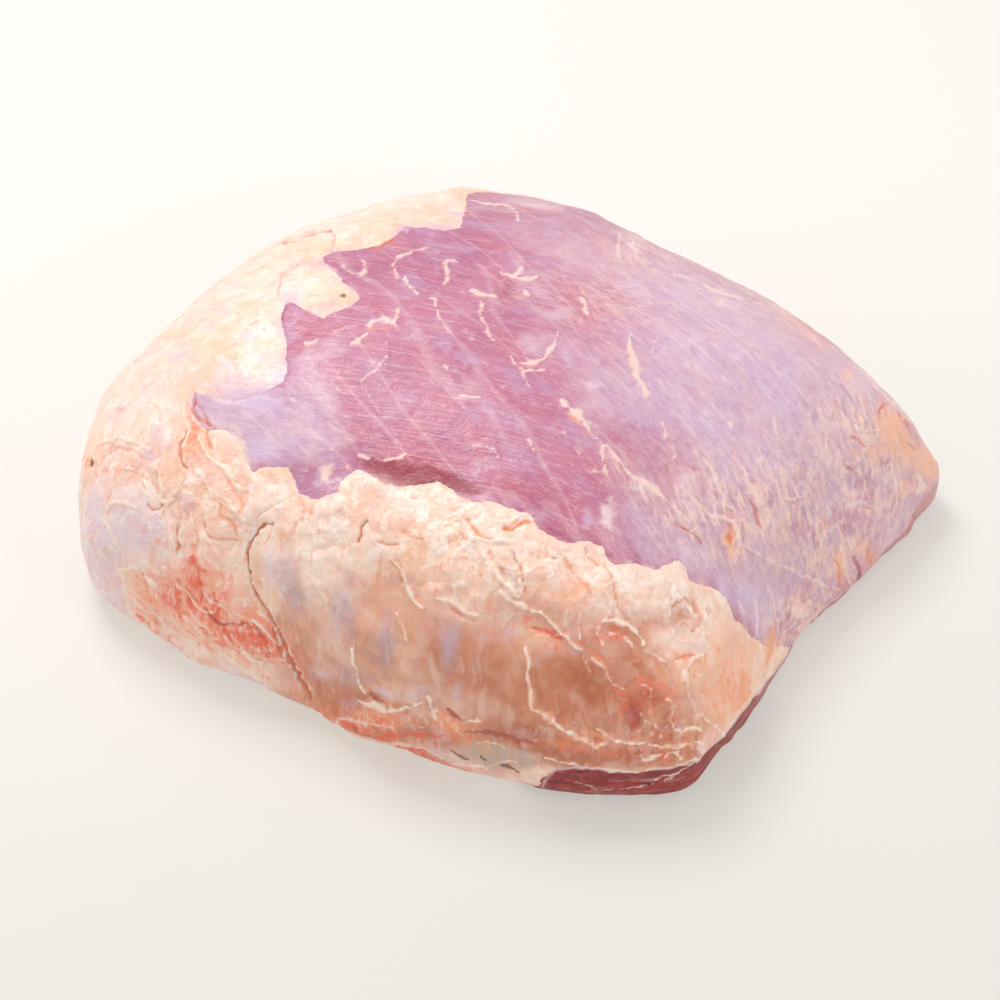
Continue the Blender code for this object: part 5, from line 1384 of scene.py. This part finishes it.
def cut_finish():
    f = Finish("cut_lean")
    middle = f.grain(0.005, 4, 0.6, 0.6, seed=1)
    beds = f.grain(0.003, 4, 0.6, 0.5, f.scaled(f.place, (0.25, 0.25, 2.0)), 2)
    fine = f.grain(0.0012, 3, 0.6, 0.4, seed=3)
    strip, lip, foot, upper = (f.field(name) for name in ("strip", "lip", "foot", "upper"))
    colour = f.mix(f.between(middle, 0.40, 0.62), CUT_RED, CUT_PINK)
    colour = f.layers(colour, [
        (strip, 0.0, 1.0, 0.75, CUT_PALE),
        (beds, 0.56, 0.68, 0.25, MEMBRANE_AND_HIGHLIGHT),
        (beds, 0.44, 0.32, 0.6, CUT_DARK),
        (fine, 0.55, 0.75, 0.35, CUT_DARK),
        (lip, 0.2, 0.8, 0.8, MEMBRANE_AND_HIGHLIGHT),
        (foot, 0.3, 0.8, 0.6, CUT_RED),
        (upper, 0.2, 0.9, 0.4, CUT_PURPLE, f.between(strip, 0.5, 0.0)),
    ])
    colour = f.tints(colour, [
        ("darkred", CUT_RED, fine, 0.5, 0.2, 0.9, 0.8),
        ("string", STRING, fine, 0.5, 0.2, 0.7, 0.85),
    ])
    f.relief([(beds, 0.0012), (fine, 0.0004)])
    return f.close(colour, f.between(fine, 0.3, 0.7, 0.38, 0.52), 0.2, (1.0, 0.4, 0.4), 0.45)


def under_finish():
    f = Finish("underside")
    broad = f.grain(0.040, 3, 0.5, 0.5, seed=1)
    middle = f.grain(0.010, 4, 0.6, 0.8, seed=2)
    fine = f.grain(0.0025, 4, 0.6, 0.4, seed=3)
    fibres = f.stretched(20, (0.020, 0.001, 0.003), 4)
    colour = f.mix(f.between(broad, 0.4, 0.6), LEAN, SILVER)
    colour = f.layers(colour, [(middle, 0.55, 0.75, 0.8, CREAM), (fibres, 0.52, 0.7, 0.4, LEAN_RED_AND_SHADE)])
    colour = f.mix(f.times(f.threads(0.016, 0.02, 5, 2.0), 0.5), colour, MEMBRANE_AND_HIGHLIGHT)
    f.relief([(middle, 0.0015), (fine, 0.0005), (fibres, 0.0003)])
    return f.close(colour, f.between(fine, 0.3, 0.7, 0.42, 0.58), 0.2, (1.0, 0.45, 0.4), 0.4)


def shifts_at(points):
    """How far each corner stands out more than the solid; at the ground nothing moves."""
    spots = spots_of(points)
    total = sum(by * np.exp(-(((spots - (x, y)) / (wide, tall)) ** 2).sum(1)) for x, y, wide, tall, by in SHIFTS)
    return total * ease(points[:, 2] / SHIFT_EASE)


# The skin, and the borders and the crease on it
skin = rounded_copy(FINE)
tree_form = bmesh.new()
tree_form.from_mesh(skin)
skin_tree = BVHTree.FromBMesh(tree_form)
tree_form.free()

fat_border = on_skin(FAT_BORDER)
back_top = [turn[0] for turn in turns_of(fat_border[:1])]
fat_border = np.vstack([along_turns([*FAT_BORDER_BEHIND, back_top]), fat_border])
fat_loop = closed_loop(fat_border, range(266, 11, -6))
cut_border = on_skin(CUT_BORDER)
tip_bearing, tip_rise = (turn[0] for turn in turns_of(cut_border[:1]))
cut_border = np.vstack([along_turns([(tip_bearing, TIP_FOOT), (tip_bearing, tip_rise)]), cut_border])
cut_loop = closed_loop(cut_border, range(266, 372, 6))
fat_line, cut_line = line_tree(fat_border), line_tree(cut_border)
crease_turns = np.stack(turns_of(on_skin(LEFT_CREASE)), axis=1)
crease_turns = crease_turns[np.argsort(crease_turns[:, 1])]
crease_bearings, crease_elevations = crease_turns[:, 0], crease_turns[:, 1]


def hollow_and_crest(place, relief):
    """How much each corner stands above or lies below its surroundings, about -1 to 1."""
    return np.clip((relief - even_out(relief, place.ends, 12)) / CAVITY_FULL, -1.5, 1.5)


def fat_form(place, seams=()):
    """Height of the fat and what colours it; each seam is an arc that is above 0 on this side of it."""
    fields, rise = place.painted()
    points = place.points
    crusty = fields["crusty"] = 1 - (1 - fields["crusty"]) * (1 - 0.2 * ease(place.elevation / 20))
    hanging = points * (1, 1, 0.5)
    fields["broad"], fields["middle"] = cloud(points, 0.034, 1), cloud(points, 0.014, 2)
    fields["lump"], lumps = flakes(points, 0.018, 4, edge=0.6)
    fields["chip"], chips = flakes(points, 0.007, 9, edge=0.5)
    relief = 0.0009 + 0.0009 * swell(points, 0.030, 6) + 0.0008 * swell(points, 0.013, 16)
    relief += (0.0002 + 0.0020 * crusty) * lumps + (0.0001 + 0.0005 * crusty) * chips
    relief += (0.0003 + 0.0007 * crusty) * folds(hanging, 0.018, 21) + 0.0004 * crusty * folds(hanging, 0.009, 31)
    relief *= (1 - 0.6 * fields["thin"]) * (0.4 + 0.6 * ease(points[:, 2] / 0.015))
    relief += rise
    depth = place.fat_depth()
    on_crest = fields["crusty"] * ease(1 - depth / 0.014) * ease(place.elevation / 15)
    relief += 0.0016 * on_crest
    # The finishes paint shade into the hollows of this relief and a highlight onto its crests
    fields["cavity"] = hollow_and_crest(place, relief)
    fields["fade"] = fields["thin"] * np.exp(-np.maximum(depth, 0) / 0.010)
    fields["around"] = np.radians((place.bearing - 6) % 360) * 0.15
    fields["upward"] = points[:, 2]
    fields["steep"] = ease(1.25 - 1.4 * place.normals[:, 2])
    edge = 0.0012 + 0.0035 * fields["thin"]
    height = laid_on(relief, np.minimum(depth, points[:, 2] - SKIRT), edge)
    for arc in seams:
        height = laid_on(height, arc, 0.0010)
    return height + shifts_at(points), fields


def lean_form(place):
    fields, rise = place.painted()
    points = place.points
    cut = -place.cut_depth()
    unseen = (1 - place.seen) * (0.4 + 0.5 * ease(swell(points, 0.030, 8) / 0.4))
    fields["silver"] = 1 - (1 - fields["silver"]) * (1 - unseen)
    torn = 1 - (1 - fields["amber"]) * (1 - fields["pale"]) * (1 - fields["flaky"])
    fields["broad"], fields["hue"] = cloud(points, 0.040, 3), cloud(turned(points, -40, (1.6, 1, 1)), 0.016, 33)
    fields["silk"], fields["middle"] = cloud(turned(points, -30, (2, 1, 1)), 0.016, 24), cloud(points, 0.010, 4)
    flake, lifted = flakes(points, 0.011, 3, -52, 2.0, 0.35)
    fields["flake"] = even_out(flake, place.ends, 6)
    relief = 0.0009 + 0.0005 * swell(points, 0.018, 1) + 0.0002 * swell(points, 0.005, 2)
    relief += 0.0008 * torn * lifted + (0.0001 + 0.0005 * torn) * folds(points, 0.014, 41)
    relief += (0.0001 + 0.0002 * torn) * folds(points, 0.007, 51) + 0.0006 * np.exp(-np.maximum(cut, 0) / 0.004)
    relief -= HOLE_DEPTH * np.exp(-(((spots_of(points) - HOLE) / HOLE_SIZE) ** 2).sum(1)) * place.seen
    relief += LEAN_STRAND_RISE * rise
    # The finish paints shade into the hollows of this relief and a highlight onto its crests
    fields["cavity"] = hollow_and_crest(place, relief)
    fat = place.fat_depth()
    depth = np.minimum.reduce([UNDER - fat, cut, points[:, 2] - SKIRT, cut - fat - BORDERS_APART])
    return laid_on(relief, depth, 0.0008) + shifts_at(points), fields


def cut_form(place):
    fields, rise = place.painted()
    points = place.points
    depth = place.cut_depth()
    relief = 0.0006 + 0.0005 * swell(points, 0.008, 1) + 0.0004 * swell(points * (1, 1, 3), 0.006, 2)
    fields["lip"] = np.exp(-((depth / 0.0012) ** 2)) * ease((points[:, 0] + 0.02) / 0.06)
    fields["upper"] = np.exp(-(((depth - 0.0040) / 0.0022) ** 2))
    fields["foot"] = np.exp(-np.maximum(points[:, 2], 0) / 0.012)
    fields["strip"] = ease((points[:, 0] - STRIP_FROM) / 0.035)
    kept = {key: fields[key] for key in ("lip", "foot", "upper", "string", "darkred", "strip")}
    height = laid_on(relief, np.minimum(depth + UNDER, points[:, 2] - SKIRT), 0.0008)
    return height + shifts_at(points), kept


# Where each shell lies
small_squares = Cover(skin)
lean_squares = Cover(rounded_copy(LEAN_FINE))
bearing = small_squares.place.bearing
front_arc, end_arc = small_squares.place.past_crease(), small_squares.place.past_seam()
on_fat = (small_squares.fat > -OVERLAP) & small_squares.above_ground
on_front = on_fat & ((bearing > 190) | (bearing < 20)) & (front_arc > -OVERLAP)
on_end = on_fat & (end_arc > -OVERLAP) & (front_arc < OVERLAP) & (bearing > BACK_SEAM - 20) & (bearing < 300)
on_back = on_fat & (end_arc < OVERLAP) & (bearing < 190)
on_lean = (lean_squares.fat < OVERLAP) & (lean_squares.cut < OVERLAP) & lean_squares.above_ground
on_cut = (small_squares.cut > -OVERLAP) & small_squares.above_ground

# The body and the shells
body_mesh = rounded_copy(COARSE)
body_place = Place(body_mesh)
inward = BODY_DRAWN_IN * ease(body_place.points[:, 2] / BODY_EASE) - np.minimum(shifts_at(body_place.points), 0)
drawn_in = body_place.points - body_place.normals * inward[:, None]
body_mesh.vertices.foreach_set("co", drawn_in.ravel())
body_mesh.shade_smooth()
body = finish_piece("lean_body", body_mesh, under_finish())
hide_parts("beef_round")

fat_material = fat_finish()
for name, keep, seams in (
    ("fat_front", on_front, lambda place: [place.past_crease() + UNDER]),
    ("fat_end", on_end, lambda place: [-place.past_crease(), place.past_seam()]),
    ("fat_back", on_back, lambda place: [UNDER - place.past_seam()]),
):
    piece = shell(name, small_squares, keep, lambda place: fat_form(place, seams(place)), fat_material)
face = shell("lean_face", lean_squares, on_lean, lean_form, lean_finish())
cut = shell("cut_side", small_squares, on_cut, cut_form, cut_finish())

# The floor is painted lighter toward the back to stand in for the fall of light, and half of its colour glows so that
# shadows on it stay light
floor_form = bmesh.new()
bmesh.ops.create_grid(floor_form, x_segments=1, y_segments=1, size=FLOOR_SIZE)
floor_mesh = bpy.data.meshes.new("floor")
floor_form.to_mesh(floor_mesh)
floor_form.free()
floor = bpy.data.objects.new("floor", floor_mesh)
bpy.context.scene.collection.objects.link(floor)
floor_finish = Finish("floor")
floor_mesh.materials.append(floor_finish.material)
toward_front = floor_finish.put("ShaderNodeSeparateXYZ", {0: floor_finish.place}).outputs
slope = floor_finish.plus(toward_front[1], floor_finish.times(toward_front[0], -0.25))
floor_colour = floor_finish.mix(floor_finish.between(slope, -0.35, 0.25), FLOOR_FRONT, FLOOR_BACK)
floor_base = floor_finish.mix(FLOOR_SHADED, (0, 0, 0, 1), floor_colour)
floor_finish.links.new(floor_base, floor_finish.surface.inputs["Base Color"])
# Glow on the floor, though it is no lamp, so that shadows on it are lighter
floor_finish.links.new(floor_colour, floor_finish.surface.inputs["Emission Color"])
floor_finish.surface.inputs["Emission Strength"].default_value = 1 - FLOOR_SHADED
floor_finish.surface.inputs["Roughness"].default_value = 0.9
floor_finish.surface.inputs["Specular IOR Level"].default_value = 0.1


def area_light(name, place, size, power, tint):
    """A round lamp that shines at the joint."""
    lamp = bpy.data.lights.new(name, "AREA")
    lamp.shape = "DISK"
    lamp.size = size
    lamp.energy = power
    lamp.color = tint
    holder = bpy.data.objects.new(name, lamp)
    holder.location = place
    holder.rotation_euler = (Vector(LIT) - Vector(place)).to_track_quat("-Z", "Y").to_euler()
    bpy.context.scene.collection.objects.link(holder)


# Light and camera
world = bpy.data.worlds.new("studio")
bpy.context.scene.world = world
world.use_nodes = True
sky = world.node_tree.nodes["Background"].inputs
sky["Color"].default_value = (1.0, 0.99, 0.98, 1.0)
sky["Strength"].default_value = SKY
area_light("soft_top", (-0.45, 0.55, 1.6), 0.8, 18.0, (1.0, 0.98, 0.95))
area_light("right_fill", (1.2, -1.0, 0.8), 1.2, 7.0, (1.0, 0.98, 0.99))
area_light("left_fill", (-1.3, -0.6, 0.8), 1.2, 2.8, (1.0, 0.98, 0.97))

lens = bpy.data.cameras.new("camera")
lens.sensor_width = SENSOR
lens.lens = FOCAL / PICTURE * SENSOR
camera = bpy.data.objects.new("camera", lens)
camera.location = EYE
camera.rotation_euler = (math.radians(90) - CAMERA_RISE, 0, 0)
bpy.context.scene.collection.objects.link(camera)
bpy.context.scene.camera = camera
bpy.context.scene.view_settings.view_transform = "Standard"
